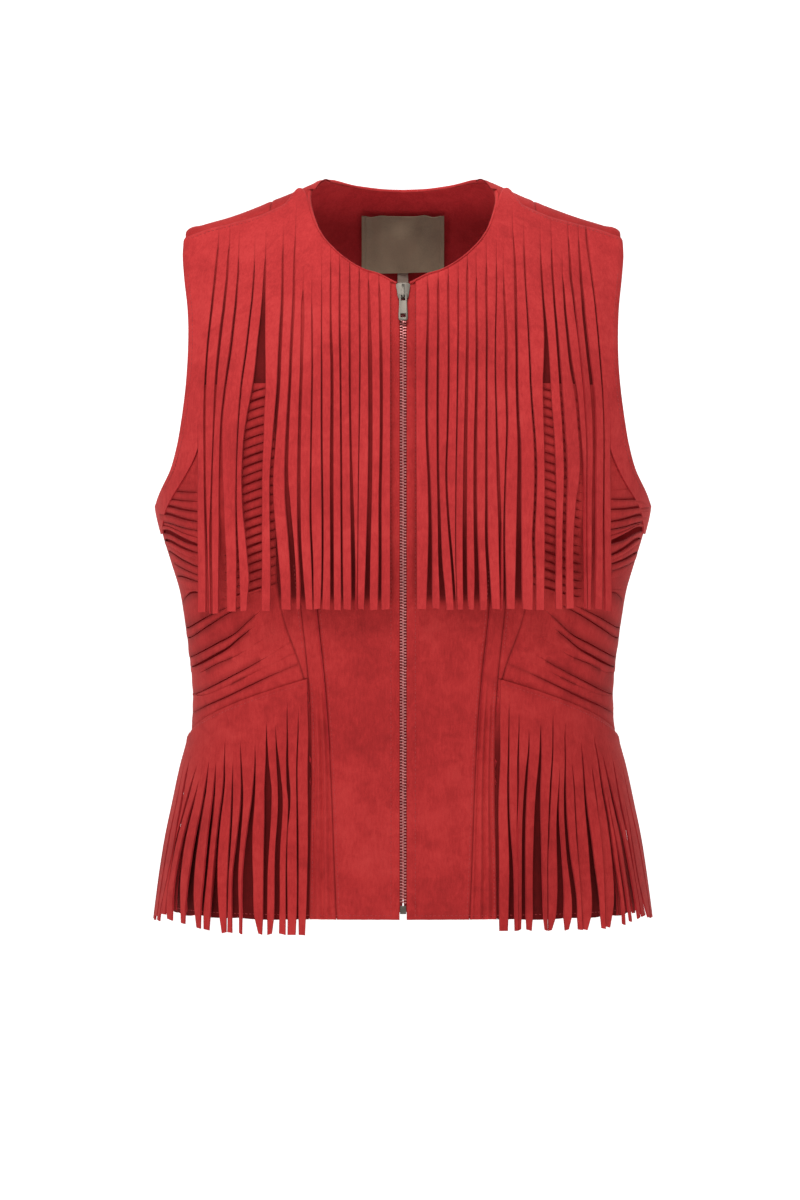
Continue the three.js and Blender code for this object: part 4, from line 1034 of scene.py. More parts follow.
# ------------------------------------------------------------------------------------------------- hip fringe
# Slits of the hip fringe in the same form as those of the chest, from the outside in on the viewer's left and from
# the inside out on the right. The last row of the left table and the first of the right one are the inner edge.
HIP_LEFT = [
    [(757, 190, 0), (768, 187.5, 1), (775, 186, 2), (810, 180, 2.4), (850, 173, 1.2), (890, 165, 1.0), (910, 161, 1.4), (923, 160.2, 3.0)],
    [(765, 197, 0), (778, 193, 1), (800, 187, 2), (835, 178, 2.0), (870, 171.4, 1.6), (900, 167.6, 1.4), (915, 167, 3), (927, 167, 5)],
    [(780, 199, 0), (792, 196, 1), (815, 190, 2), (845, 183.4, 2.4), (885, 178, 4), (905, 177.6, 5), (930, 178, 6)],
    [(760, 209, 0), (772, 207.5, 1), (790, 205, 2), (820, 200, 2.4), (860, 194, 3.4), (900, 191, 6), (930, 191.5, 9)],
    [(760, 216, 0), (775, 215, 1), (805, 213, 1.6), (833, 210, 1.2), (880, 206, .6), (915, 203.4, 1), (933, 203, 2)],
    [(740, 225, 0), (752, 224.6, .8), (780, 224, 1.8), (820, 220, 2.2), (860, 216.6, 4), (915, 215.6, 7), (935, 216, 10)],
    [(760, 233, 0), (775, 232.6, .9), (805, 232, 1.5), (850, 230, 1.3), (870, 229, .7), (935, 227, .8)],
    [(740, 240, 0), (755, 240.6, .9), (790, 242, 2), (840, 239, 3.2), (870, 236, 4.4), (915, 235.5, 5), (935, 235.5, 5)],
    [(745, 255, 0), (760, 255, 1), (790, 254, 2.2), (830, 250.4, 4), (850, 249, 6), (880, 248, 8.6), (915, 248, 9.4), (935, 250, 14)],
    [(720, 266, 0), (735, 266.4, 1), (760, 267, 3), (790, 268, 7), (810, 268, 6.4), (870, 266, 4.2), (917, 265, 4.2), (935, 264.5, 5)],
    [(725, 275, 0), (740, 276, 1), (765, 278, 3), (790, 280, 4.2), (850, 278, 4.4), (917, 277, 5), (935, 275.6, 7)],
    [(700, 287, 0), (715, 287, .8), (750, 287.4, 2), (789, 289, 4), (798, 289.6, 3), (830, 288, 1), (935, 287, 1.8)],
    [(705, 298, 0), (730, 298, .9), (900, 298, 1.3), (935, 297.6, 3)],
    [(678, 306.4, 0), (710, 307.4, 0), (740, 308, 0), (780, 307.6, 0), (917, 306.2, 0), (935, 305.4, 0)],
]
HIP_LEFT_ENDS = [923, 927, 929, 932, 933, 935, 934.5, 935, 935.5, 935, 934.5, 935, 935]
HIP_RIGHT = [
    [(678, 501.6, 0), (740, 500.2, 0), (800, 498.5, 0), (850, 498.6, 0), (917, 499.2, 0), (931, 499.4, 0)],
    [(700, 509, 0), (715, 509, .8), (780, 508, 1.5), (830, 509, 2.2), (860, 510.6, 3.6), (917, 511, 5), (931, 511, 6)],
    [(712, 519, 0), (725, 519, .8), (760, 518, 1.7), (800, 518, 1.7), (830, 517, .8), (870, 517.4, .4), (931, 518, .4)],
    [(728, 529, 0), (742, 529, 1), (770, 527, 2), (830, 523.6, 3), (917, 523.4, 4), (931, 523.5, 5)],
    [(722, 541, 0), (738, 540.6, 1.2), (790, 538, 4), (837, 537, 6), (870, 537, 7), (917, 538, 9), (931, 538.4, 12)],
    [(712, 553, 0), (728, 553, .9), (780, 551, 1.6), (840, 548, 1.3), (850, 547.4, .8), (931, 548, .4)],
    [(762, 560, 0), (790, 558.8, .9), (825, 558, 2.4), (850, 559, 3.4), (917, 559, 5), (931, 557.6, 10)],
    [(722, 565.4, 0), (738, 565, .9), (790, 565, 1.6), (850, 567.4, 2.2), (917, 573, 4.4), (931, 572, 8)],
    [(760, 571.6, 0), (780, 573.6, 1), (840, 576.4, 1.6), (917, 581, 1.2), (931, 582, .8)],
    [(742, 581, 0), (756, 582.4, 1), (800, 585.4, 1.8), (860, 591, 3), (914, 594.6, 5.5), (931, 593, 10)],
    [(765, 591.6, 0), (775, 593, 1), (797, 596, 1.4), (840, 600, 1), (880, 602.4, 1), (931, 604, 2)],
    [(735, 593.6, 0), (748, 596, 1), (785, 602, 1.8), (820, 608, 2.4), (860, 613, 3), (905, 616.4, 6), (930, 615.6, 9)],
    [(790, 607, 0), (810, 610, .8), (850, 617.4, 1.2), (900, 624.4, 2.4), (928, 627, 4)],
    [(752, 602, 0), (765, 605, 1), (795, 612, 1.8), (835, 621, 2.2), (885, 629, 3), (926, 634.8, 4)],
    [(758, 612.4, 0), (770, 614.6, 1), (805, 620.6, 2), (830, 626, 2.0), (880, 634.6, 1.6), (908, 639, 2.0), (925, 641.6, 4)],
    [(790, 622.5, 0), (815, 628, 1.2), (845, 632.6, 1.4), (890, 640.4, 1.2), (908, 644.6, 2.2), (923, 648.8, 4)],
]
HIP_RIGHT_ENDS = [931, 931, 930, 930.5, 931, 931.5, 931.5, 932, 932, 932, 931, 930, 928, 926, 925]


def stand_off(th, z):
    share = smooth(27, 87, th / RAD)
    return 0.3 + hip_lift(z) * (0.22 + 0.78 * share)


def hip_point(th, z, lift):
    t = -drop_t(th, z)
    return surf(th, t) + norm(th, t) * (stand_off(th, z) + lift)[..., None]


def flat_point(th, z, lift):
    return lay(th, -drop_t(th, z), np.broadcast_to(np.asarray(lift, float), np.shape(th)))


TH_SCAN = np.linspace(10, 89.5, 400) * RAD


def to_angle(px, py, place=hip_point, lift=1.6, strict=False):
    """Angle and height on the right half of the form of a point of the front view; px is mirrored to the right."""
    z = np.full(TH_SCAN.shape, -328 + (600 - py) * 0.78)
    for _ in range(4):
        P = place(TH_SCAN, z, np.full(TH_SCAN.shape, lift))
        z = z + (-328 + (600 - py) * (3000 + P[:, 1]) / 3750 - P[:, 2])
    shown = 403 + P[:, 0] * 3750 / (3000 + P[:, 1])
    top = int(np.argmax(shown))
    k = int(np.searchsorted(shown[:top + 1], px))
    if k > top - 12 and strict:
        return None
    k = min(k, max(0, top - 12))
    if k == 0:
        return float(TH_SCAN[0]), float(z[0]), 0.78
    f = np.clip((px - shown[k - 1]) / max(shown[k] - shown[k - 1], 1e-6), 0, 1)
    return float(TH_SCAN[k - 1] + f * (TH_SCAN[k] - TH_SCAN[k - 1])), float(z[k]), (3000 + float(P[k, 1])) / 3750


class SideSlit:
    def __init__(self, rows, mirrored, place=hip_point):
        pts = []
        for py, px, w in rows:
            th, z, k = to_angle(806 - px if mirrored else px, py, place)
            # a width seen at a slant is wider along the cloth
            pts.append((z, th, w * k / max(0.45, math.cos(th) ** 0.8)))
        pts.sort()
        self.z0, self.z1 = pts[0][0], pts[-1][0]
        self.th = curve([(z, th) for z, th, _ in pts])
        self.wz, self.ww = [p[0] for p in pts], [p[2] for p in pts]

    def width(self, z):
        return np.where(z > self.z1, 0.0, np.interp(z, self.wz, self.ww))

    def edge(self, z, side):
        th = self.th(z)
        P, Q = flat_point(th, z, 0.0), flat_point(th + 0.004, z, 0.0)
        per = np.linalg.norm(Q - P, axis=-1) / 0.004
        return th + side * self.width(z) / 2 / per


class EvenSlit(SideSlit):
    """A slit on the hidden part of the side."""

    def __init__(self, th_top, th_end, z_top, w):
        self.z1, self.z0 = z_top, -590.0
        self.th = lambda z: (th_end + (th_top - th_end) * smooth(-590, -440, z)) * RAD
        self.wz, self.ww = [-590, z_top - 25, z_top - 8, z_top], [w, w * 0.45, 0.3, 0]


Z_MID = -475.0
HIP_ROWS = 24


def waist_z(th):
    return row_z(ROW_F[R_WAIST], ROW_S[R_WAIST], th)


def hip_strip(a, b, z_end, seed, push, slant, columns=7, step=4.6, tuck=0.0, loose=1.0):
    r = random.Random(seed)
    f = np.linspace(0, 1, HIP_ROWS)
    rows = int(max(6, math.ceil((Z_MID - z_end) / step)))
    u = STRIP_U
    TH, Z = np.zeros((columns, HIP_ROWS + rows)), np.zeros((columns, HIP_ROWS + rows))
    for c in range(columns):
        za = np.full(HIP_ROWS, Z_MID)
        for _ in range(6):
            thc = a.th(za) * (1 - u[c]) + b.th(za) * u[c]
            za = waist_z(thc) * (1 - f) + Z_MID * f
        zb = Z_MID + (z_end + slant * (u[c] - 0.5) - Z_MID) * (np.arange(1, rows + 1) / rows)
        z = np.concatenate([za, zb])
        Z[c] = z
        TH[c] = a.edge(z, 1) * (1 - u[c]) + b.edge(z, -1) * u[c]
    start = min(a.z1, b.z1) if min(a.z1, b.z1) > z_end + 30 else max(a.z1, b.z1)
    free = smooth(start, start - 55, Z)
    low = smooth(start - 30, z_end, Z)
    s = (u[:, None] - 0.5) * 2
    wave = 0.4 * np.sin(Z / r.uniform(15, 22) + r.uniform(0, 6)) + 0.45 * np.sin(Z / r.uniform(30, 45) + r.uniform(0, 6))
    tilt = r.uniform(-1, 1) * 0.9 + 0.6 * np.sin(Z / r.uniform(35, 60) + r.uniform(0, 6))
    lift = 1.6 + free * (push * (0.5 + 0.5 * low) + loose * wave * (0.5 + low)) + free * loose * tilt * s * 0.75
    lift = np.maximum(lift, 1.3) - tuck * smooth(-440, -520, Z)
    P = hip_point(TH, Z, lift)
    _, _, c, _ = edge_distance(P)
    t = -drop_t(TH, Z)
    P = P + norm(TH, t) * (-0.9 * np.exp(-(c / 1.8) ** 2) + 0.3 * np.exp(-((c - 4.4) / 2.0) ** 2))[..., None]
    return P, np.where(np.abs(s) > 0.99, 1.0, 0.0) * free


def hip_fringe(side):
    tag = "R" if side > 0 else "L"
    table = HIP_RIGHT if side > 0 else HIP_LEFT[::-1]
    ends = HIP_RIGHT_ENDS if side > 0 else HIP_LEFT_ENDS[::-1]
    slits = [SideSlit(rows, side < 0) for rows in table]
    seen = len(slits)
    r = random.Random(31 + side)
    last_low, last_top = float(slits[-1].th(-585.0)) / RAD, float(slits[-1].th(slits[-1].z1)) / RAD
    count = max(4, int(round((90 - last_low) / 3.4)))
    for k in range(1, count + 1):
        f = k / count
        th_top = last_top + (90 - last_top) * f
        th_low = last_low + (90 - last_low) * f
        w = 0.0 if k == count else r.uniform(0.25, 0.45)
        slits.append(EvenSlit(th_top, th_low, -590.0 if k == count else r.uniform(-462, -449), w))
    sheet = Sheet("vest_hip_fringe_" + tag, [SUEDE, SUEDE_IN], node="hip_fringe_" + tag, thick=1.35)
    for k in range(len(slits) - 1):
        if k < seen - 1:
            py = ends[k]
            z_end = -328 + (600 - py) * 0.773 + 0.6 * smooth(8, len(table), k)
        else:
            z_end = r.uniform(-584.5, -579.5)
        push = (r.uniform(0.1, 1.9) + (0.7 if k % 2 else 0)) if k < seen - 1 else 0.6
        tuck = (0.5 if (k - seen) % 2 else 0.0) if k >= seen - 1 and k < len(slits) - 2 else 0.0
        loose = 1.0 if k < seen - 4 else 0.3 if k < seen - 1 else 0.1
        P, cut = hip_strip(slits[k], slits[k + 1], max(z_end, -587.0), 700 + 50 * side + k, push, r.uniform(-1.2, 1.2),
                           tuck=tuck, loose=loose)
        P = P * (MIRROR if side < 0 else 1)
        sheet.grid(P, flip=side > 0, cut=cut * 0.6)
    # strips that have slipped behind their neighbours near the side; they are coloured darker all over as painted
    # shade, and darker still at their cut edges
    for k in range(seen - 5, len(slits) - 1):
        slit = slits[k]
        z = np.linspace(-482.0, -573.0 + r.uniform(-3, 3), 22)
        th_mid = slit.th(z) + r.uniform(-0.006, 0.006) + 0.012 * np.sin(z / 31 + k)
        off = np.linspace(-1, 1, 5)
        per = 190.0
        TH = np.minimum(th_mid[None, :] + off[:, None] * (r.uniform(3.6, 4.6) / per), 89.6 * RAD)
        ZZ = np.broadcast_to(z, TH.shape)
        room = hip_lift(ZZ) * (0.22 + 0.78 * smooth(27, 87, TH / RAD))
        lift = np.minimum(-0.6, -room * 0.38 + 0.5 * np.sin(ZZ / 19 + k)) + 0.4 * off[:, None] * math.sin(k * 2.1)
        P = hip_point(TH, ZZ, np.maximum(lift, 1.9 - room)) * (MIRROR if side < 0 else 1)
        sheet.grid(P, flip=side > 0, cut=0.35 + 0.3 * (np.abs(off[:, None]) > 0.99) + 0 * ZZ)
    return sheet


for side, tag in ((1, "R"), (-1, "L")):
    sheets["hip_fringe_" + tag] = hip_fringe(side)


# ------------------------------------------------------------------------------------------------- slashed panel
# Lines along which the side panel is cut, in the front view (viewer's left): (x, y) from the seam to the silhouette.
# inner and outer are the openings of the two ladders, in the view's units; span is the part that is open (x to x).
SIDE_X = 196


def ladder_lines(side):
    outer_y = {1: 582, 2: 575, 3: 567, 4: 560, 5: 553, 6: 545, 7: 538, 8: 531, 9: 522, 10: 512, 11: 502, 12: 493}
    outer_up = {1: 12, 2: 15, 3: 16, 4: 15.5, 5: 13, 6: 13, 7: 11.5, 8: 8, 9: 8, 10: 6, 11: 3, 12: 2.5}
    opening = {1: 1.4, 2: 1.3, 3: 2.2, 4: 0, 5: 2.6, 6: 5.6, 7: 0, 8: 1.1, 9: 2.4, 10: 2.4, 11: 1.0, 12: 1.0}
    if side > 0:
        outer_y.update({1: 580, 2: 572, 3: 565, 4: 560.5, 5: 556, 6: 543, 7: 536.5, 8: 530, 9: 522, 10: 510, 11: 500, 12: 491})
        outer_up.update({2: 12, 3: 13, 5: 17, 6: 13, 8: 7, 9: 7, 10: 3, 11: 1})
        opening.update({1: 0, 2: 1.0, 3: 1.9, 5: 2.6, 6: 8.0, 8: 1.9, 9: 2.3, 10: 1.9, 11: 0.9, 12: 0})
    r = random.Random(77 + side)
    lines = []
    for m in range(22, -1, -1):
        y = 587 - 9.0 * m
        slope = 14.0 if m > 4 else 9.5 + m
        yb = outer_y.get(m, 493 - 9.0 * (m - 12) if m > 12 else 590)
        up = outer_up.get(m, 0)
        lines.append({"pts": [(283, y - 5.5), (262, y), (222, y + slope), (205, yb + 1.5), (199, yb), (184, yb - up * 0.42), (172, yb - up * 0.92), (160, yb - up * 1.2)],
                      "open": [(279, 224, r.uniform(1.1, 2.3)), (206, 158, opening.get(m, 0))]})
    lines += [
        {"pts": [(283, 585), (262, 590.5), (222, 600), (208, 598), (199, 593), (183, 602), (175, 606)], "open": [(205, 176, 1.9 if side < 0 else 0.8)]},
        {"pts": [(283, 588), (262, 594.5), (235, 604), (213, 614), (190, 627), (180, 632)], "open": [(232, 186, 1.4)]},
        {"pts": [(283, 592), (262, 598), (231, 612), (210, 625), (192, 637), (180, 643)], "open": [(250, 186, 1.8)]},
        {"pts": [(284, 597), (270, 604), (253, 617), (237, 632), (216, 644), (191, 657), (180, 662)], "open": [(262, 186, 1.7)]},
        {"pts": [(285, 603), (262, 620), (241, 637), (228, 648), (216, 655), (195, 666), (180, 674)], "open": [(252, 192, 2.9)]},
        {"pts": [(289, 624), (253, 645), (243, 652), (217, 664), (202, 672), (180, 684)], "open": [(246, 200, .7)]},
        {"pts": [(293, 640), (263, 659), (228, 678), (195, 694), (180, 700)], "open": [(270, 190, 1.5)]},
        {"pts": [(296, 652), (256, 672), (232, 684), (210, 694), (192, 702), (180, 707)], "open": [(256, 222, .6)]},
        {"pts": [(300, 663), (272, 675), (252, 684.5), (224, 698), (208, 705), (193, 713), (180, 719)], "open": [(280, 188, 1.6)], "line": True},
    ]
    return lines


def slashed(side):
    tag = "R" if side > 0 else "L"
    r = random.Random(12 + side)
    table = ladder_lines(side)

    def line(pts):
        rows = []
        for x, y in pts:
            got = to_angle(806 - x, y, flat_point, 0.0, strict=True)
            if got:
                rows.append(got[:2])
        rows.sort()
        ths, zs = [rows[0][0]], [rows[0][1]]
        for th, z in rows[1:]:
            if th > ths[-1] + 0.01:
                ths.append(th)
                zs.append(z)
        if ths[-1] < 88 * RAD:
            ths.append(90 * RAD)
            slope = (zs[-1] - zs[-2]) / (ths[-1] - ths[-2])
            zs.append(zs[-1] + slope * (90 * RAD - ths[-1]) * 0.35)
        return curve(list(zip(ths, zs)))

    zs = [lambda th: np.full(np.shape(th), -160.0)]
    opens = [[]]
    for spec in table:
        zs.append(line(spec["pts"]))
        spans = []
        for x0, x1, w in spec["open"]:
            if w <= 0:
                continue
            y0 = np.interp(-x0, [-p[0] for p in spec["pts"]], [p[1] for p in spec["pts"]])
            y1 = np.interp(-max(x1, 150), [-p[0] for p in spec["pts"]], [p[1] for p in spec["pts"]])
            a = to_angle(806 - x0, y0, flat_point, 0.0)[0]
            b = to_angle(806 - x1, y1, flat_point, 0.0)[0] if x1 > 190 else (84 + 2.0 * math.sin(y0)) * RAD
            spans.append((a, b, w * 0.8))
        opens.append(spans)
    zs.append(lambda th: waist_z(th))
    opens.append([])

    def width(k, th):
        w = np.zeros(np.shape(th))
        for a, b, big in opens[k]:
            s = np.clip((th - a) / (b - a), 0, 1)
            w = w + big * np.sin(math.pi * s) ** 0.75 * ((th > a) & (th < b))
        return w

    def th_in(z):
        return th_of(column_x[C_SLASH](z), z)

    def th_out(z):
        return np.where(z <= -252.99, math.pi / 2, th_of(arm_front(z), z))

    u = np.concatenate([[0, 0.004, 0.011], np.linspace(0.02, 1, 64)])
    n_u = len(u)
    sheet = Sheet("vest_side_front_" + tag, [SUEDE, SUEDE_IN], node="side_front_" + tag, thick=1.3)
    L = []
    for zf in zs:
        z = np.full(n_u, -300.0)
        th = 50 * RAD + u * 0.5
        for _ in range(14):
            z = zf(th)
            th = th_in(z) + (th_out(z) - th_in(z)) * u
        L.append((th, z))
    for k in range(1, len(L)):
        # lines keep their order, at least 1.2 mm apart
        L[k] = (L[k][0], np.minimum(L[k][1], L[k - 1][1] - 1.2))
    rise = []
    for k in range(len(L)):
        rise.append((r.uniform(0.2, 1.3), r.uniform(0.3, 2.0)))
    for k in range(len(L) - 1):
        (th0, z0), (th1, z1) = L[k], L[k + 1]
        top = z0 - width(k, th0) / 2
        low = z1 + width(k + 1, th1) / 2
        tight = top - low < 0.9
        mid = (z0 + z1) / 2
        top = np.where(tight, mid + 0.45, top)
        low = np.where(tight, mid - 0.45, low)
        n = int(max(3, math.ceil(float(np.median(top - low)) / 2.4)))
        v = np.linspace(0, 1, n + 1)
        TH = th0[:, None] * (1 - v) + th1[:, None] * v
        Z = top[:, None] * (1 - v) + low[:, None] * v
        # how far this band is free of its neighbours: it bows out there, and its cut edges curl a little
        loose = np.minimum(1, (width(k, th0) + width(k + 1, th1)) / 2.0)
        inner_part = smooth(60 * RAD, 50 * RAD, th0)
        bow = loose * (rise[k][0] * inner_part + rise[k][1] * (1 - inner_part))
        s = (v - 0.5) * 2
        lift = bow[:, None] * (1 - 0.35 * s * s)[None, :] + loose[:, None] * (0.35 * s * r.uniform(-1, 1))[None, :]
        P = flat_point(TH, Z, 0.0)
        nn = norm(TH, -drop_t(TH, Z))
        a, b, c, d = edge_distance(P)
        lift = lift + roll(a)
        if k == 0:
            lift = lift + roll(c)
        if k == len(L) - 2:
            lift = lift + roll(d)
        below = smooth(-340, -365, Z)
        wrinkle = 0.45 * np.sin((Z + 0.55 * (TH / RAD)) / 2.9 + r.uniform(0, 6)) * below * 0.5
        # the faces beside an opening are coloured darker, a painted shade, so that it reads as a fold of the hide; the
        # surface itself is not moved
        shoulder = (np.exp(-((s - 1) / 0.35) ** 2) * (width(k + 1, th1) > 0.4)[:, None]
                    + np.exp(-((s + 1) / 0.35) ** 2) * (width(k, th0) > 0.4)[:, None])
        P = P * (MIRROR if side < 0 else 1)
        nn = nn * (MIRROR if side < 0 else 1)
        P = P + nn * (lift + wrinkle + creases(P) * 0.7 - 0.0 * shoulder)[..., None]
        shut = np.exp(-((s - 1) / 0.3) ** 2) if k < len(table) and table[k].get("line") else 0 * s
        if k and table[k - 1].get("line"):
            shut = np.maximum(shut, np.exp(-((s + 1) / 0.3) ** 2))
        # painted shade beside the openings, and dark seam lines along the closed line and the top edge
        cut = np.maximum(np.clip(shoulder, 0, 1) * 0.5, 0.35 * np.broadcast_to(shut, shoulder.shape))
        cut = np.maximum(cut, 0.6 * np.exp(-(a / 0.8) ** 2))
        sheet.grid(P, flip=side > 0, cut=cut)
    return sheet


for side, tag in ((1, "R"), (-1, "L")):
    sheets["side_front_" + tag] = slashed(side)


# ------------------------------------------------------------------------------------------------- zip
Z_CHAIN_TOP, Z_CHAIN_END = -91.0, -563.0


def front_at(x, z, lift):
    """Point of the front beside the zip; x may be negative."""
    x, z = np.broadcast_arrays(np.asarray(x, float), np.asarray(z, float))
    th = th_of(np.abs(x), z)
    P = lay(th, -drop_t(th, z), np.broadcast_to(np.asarray(lift, float), x.shape))
    return P * np.where(x[..., None] < 0, MIRROR, np.ones(3))


def out_of_front(z, d=2.0):
    a, b = front_at(0.0, z + d, 0.0), front_at(0.0, z - d, 0.0)
    up = (a - b) / np.linalg.norm(a - b)
    return up, np.array([0.0, up[2] * -1.0, up[1]])


class Solid:
    """Small closed bodies gathered into one piece."""

    def __init__(self, name, mats, slot, body="vest", node=None):
        self.name, self.mats, self.slot, self.body, self.node = name, mats, slot, body, node
        self.verts, self.faces = [], []

    def loft(self, rings):
        """rings: a list of equally long closed loops of points, first and last of them capped."""
        base, m = len(self.verts), len(rings[0])
        for ring in rings:
            self.verts.extend([tuple(p) for p in ring])
        for k in range(len(rings) - 1):
            for j in range(m):
                a, b = base + k * m + j, base + k * m + (j + 1) % m
                self.faces.append((a, b, b + m, a + m))
        self.faces.append(tuple(base + j for j in range(m))[::-1])
        self.faces.append(tuple(base + (len(rings) - 1) * m + j for j in range(m)))
        return self

    def build(self, angle=40):
        o = to_object(self.name, np.array(self.verts) * 0.001, self.faces, self.mats)
        bm = bmesh.new()
        bm.from_mesh(o.data)
        bmesh.ops.recalc_face_normals(bm, faces=bm.faces)
        bm.to_mesh(o.data)
        bm.free()
        finish_mesh(o, angle)
        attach(o, self.body)
        if self.node:
            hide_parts(*([self.node] if isinstance(self.node, str) else self.node))
        return o


solids = {}
PITCH = 2.3
for side, tag in ((1, "R"), (-1, "L")):
    teeth = Solid("vest_zip_teeth_" + tag, [METAL_TEETH], "zip_metal", node="zip_teeth_" + tag)
    z = Z_CHAIN_TOP - 0.6 - (0.0 if side > 0 else PITCH / 2)
    while z > Z_CHAIN_END + 0.6:
        up, out = out_of_front(z)
        middle = front_at(0.0, z, -0.62)
        wob = rng.uniform(-0.05, 0.05)
        rings = []
        for x, hn, hz in ((2.52, 0.72, 0.36), (2.36, 0.98, 0.52), (1.15, 1.0, 0.54), (0.82, 0.7, 0.43), (-0.35, 0.66, 0.45), (-0.62, 0.45, 0.28)):
            c = 0.72
            ring = [(hn, hz * c), (hn * c, hz), (-hn * c, hz), (-hn, hz * c), (-hn, -hz * c), (-hn * c, -hz), (hn * c, -hz), (hn, -hz * c)]
            rings.append([middle + np.array([x * side, 0, 0]) + out * (a + wob) + up * b for a, b in ring])
        teeth.loft(rings)
        z -= PITCH * up[2]
    solids["zip_teeth_" + tag] = teeth
    # tape, with the cord that the teeth are clamped on, and its free ends at the top and the bottom
    zt = np.linspace(-569.0, -91.5, 150)
    xt = np.array([0.55, 1.0, 1.7, 2.3, 2.9, 4.2, 7, 10, 13, 16, 18.6, 19.5])
    X, Z = np.meshgrid(xt, zt, indexing="ij")
    lift = -1.95 + 0.55 * np.exp(-((X - 1.2) / 0.75) ** 2) + 0.07 * np.sin(Z / 21 + side) * smooth(3, 9, X)
    sheet = Sheet("vest_zip_tape_" + tag, [TAPE], node="zip_tape_" + tag, slot="zip_tape", thick=0.75)
    sheet.grid(front_at(X * side, Z, lift), flip=side < 0)
    sheets["zip_tape_" + tag] = sheet


def from_cad(node, name, mats, body, bevel, segments=2, angle=30, scratches=False):
    """A new object with the CAD node's own mesh, its hard edges rounded, in the node's place."""
    source = next(o for o in bpy.data.objects if o.type == "MESH" and o.name == node)
    me = source.data.copy()
    me.materials.clear()
    o = bpy.data.objects.new(name, me)
    bpy.context.scene.collection.objects.link(o)
    bpy.context.view_layer.update()
    bm = bmesh.new()
    bm.from_mesh(me)
    bm.transform(source.matrix_world)
    bmesh.ops.remove_doubles(bm, verts=bm.verts, dist=1e-5)
    bmesh.ops.dissolve_limit(bm, angle_limit=2 * RAD, verts=bm.verts, edges=bm.edges)
    bm.to_mesh(me)
    bm.free()
    for m in mats:
        me.materials.append(m)
    b = o.modifiers.new("round", "BEVEL")
    b.width = bevel * 0.001
    b.segments = segments
    b.limit_method = "ANGLE"
    b.angle_limit = angle * RAD
    finish_mesh(o, 45)
    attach(o, body)
    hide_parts(node)
    return o


from_cad("zip_slider", "vest_zip_slider", [METAL], "vest", 0.32)
from_cad("zip_pull", "vest_zip_pull", [METAL], "pull", 0.26)
from_cad("zip_bottom_stop", "vest_zip_bottom_stop", [METAL], "vest", 0.3)

# ------------------------------------------------------------------------------------------------- label and size tab


def back_inside(x, z, lift):
    x, z = np.broadcast_arrays(np.asarray(x, float), np.asarray(z, float))
    th = np.arcsin(np.clip(np.abs(x) / 197.0, 0, 1))
    P = lay(th, drop_t(th, z), np.broadcast_to(np.asarray(lift, float), x.shape))
    return P * np.where(x[..., None] < 0, MIRROR, np.ones(3))


side_columns = np.array([34.4, 33.6, 32.8, 32.2, 31.7, 31.2, 30.7, 30.2, 29.4])
X, Z = np.meshgrid(np.concatenate([-side_columns, np.linspace(-28.2, 28.2, 50), side_columns[::-1]]),
                   np.linspace(-56.9, -11.2, 41), indexing="ij")
low = smooth(-30, -58, Z)
lift = -4.6 - 0.4 * np.sin(X / 5.6 + 0.6) * (0.2 + low) - 0.35 * low
# sewn at its two sides, the leather buckles between them: one broad swell below the middle of its top edge
swell = np.where(Z > -29, smooth(-12, -29, Z), smooth(-60, -29, Z))
lift = lift - 3.4 * np.exp(-((X + 1 + 0.1 * (Z + 29)) / 11.0) ** 2) * swell
lift = lift - 1.3 * np.exp(-((X - 25.5) / 4.6) ** 2) * smooth(-58, -20, Z) - 1.2 * np.exp(-((X + 26.5) / 4.2) ** 2) * smooth(-62, -24, Z)
lift = lift + 1.5 * np.exp(-((X - 16.5 - 0.12 * (Z + 20)) / 4.2) ** 2) * smooth(-46, -18, Z)
lift = lift + 0.9 * np.exp(-((X + 17.5) / 4.6) ** 2) * smooth(-44, -16, Z)
lift = lift + 0.15 * np.sin(Z / 6.0 + X / 24) + 0.3 * smooth(31.5, 34.4, np.abs(X))
lift = lift + 0.4 * np.exp(-((np.abs(X) - 31.2) / 0.7) ** 2)
Z2 = Z + 0.5 * np.sin(X / 9.0) * smooth(-50, -58, Z)
plate = Sheet("vest_label", [LABEL], node="label", slot="label", thick=0.95)
LABEL_GRID = back_inside(X, Z2, lift)
plate.grid(LABEL_GRID, flip=True)
sheets["label"] = plate

X, Z = np.meshgrid(np.linspace(-4.5, 4.5, 13), np.linspace(-69.6, -57.0, 19), indexing="ij")
fold = Sheet("vest_size_tab", [TAB], node="size_tab", slot="size_tab", thick=0.7)
fold.grid(back_inside(X, Z, -4.1 + 0.25 * np.sin(X / 2.4 + Z / 5) - 0.2 * smooth(-66, -69.6, Z)), flip=True)
sheets["size_tab"] = fold


# ------------------------------------------------------------------------------------------------- turned edges
def edge_roll(name, rows, n_hint, half_n, half_b, step=3.0):
    """A rounded turned edge along the points rows; n_hint points out of the cloth at each of them."""
    P, N = np.asarray(rows, float), np.asarray(n_hint, float)
    d = np.concatenate([[0], np.cumsum(np.linalg.norm(np.diff(P, axis=0), axis=1))])
    s = np.linspace(0, d[-1], int(d[-1] / step) + 1)
    put = lambda A: np.stack([np.interp(s, d, A[:, k]) for k in range(3)], axis=1)
    P, N = put(P), put(N)
    T = np.gradient(P, axis=0)
    T = T / np.linalg.norm(T, axis=1, keepdims=True)
    N = N - T * np.sum(N * T, axis=1, keepdims=True)
    N = N / np.linalg.norm(N, axis=1, keepdims=True)
    B = np.cross(T, N)
    hn, hb = np.interp(s, d, half_n), np.interp(s, d, half_b)
    body = Solid(name, [SUEDE_TOP_LIT], "suede")
    rings = []
    for k in range(len(s)):
        w = 1 + 0.05 * math.sin(s[k] / 5.3)
        rings.append([P[k] + N[k] * hn[k] * w * math.cos(a) + B[k] * hb[k] * math.sin(a)
                      for a in np.arange(10) * 2 * math.pi / 10])
    body.loft(rings)
    return body


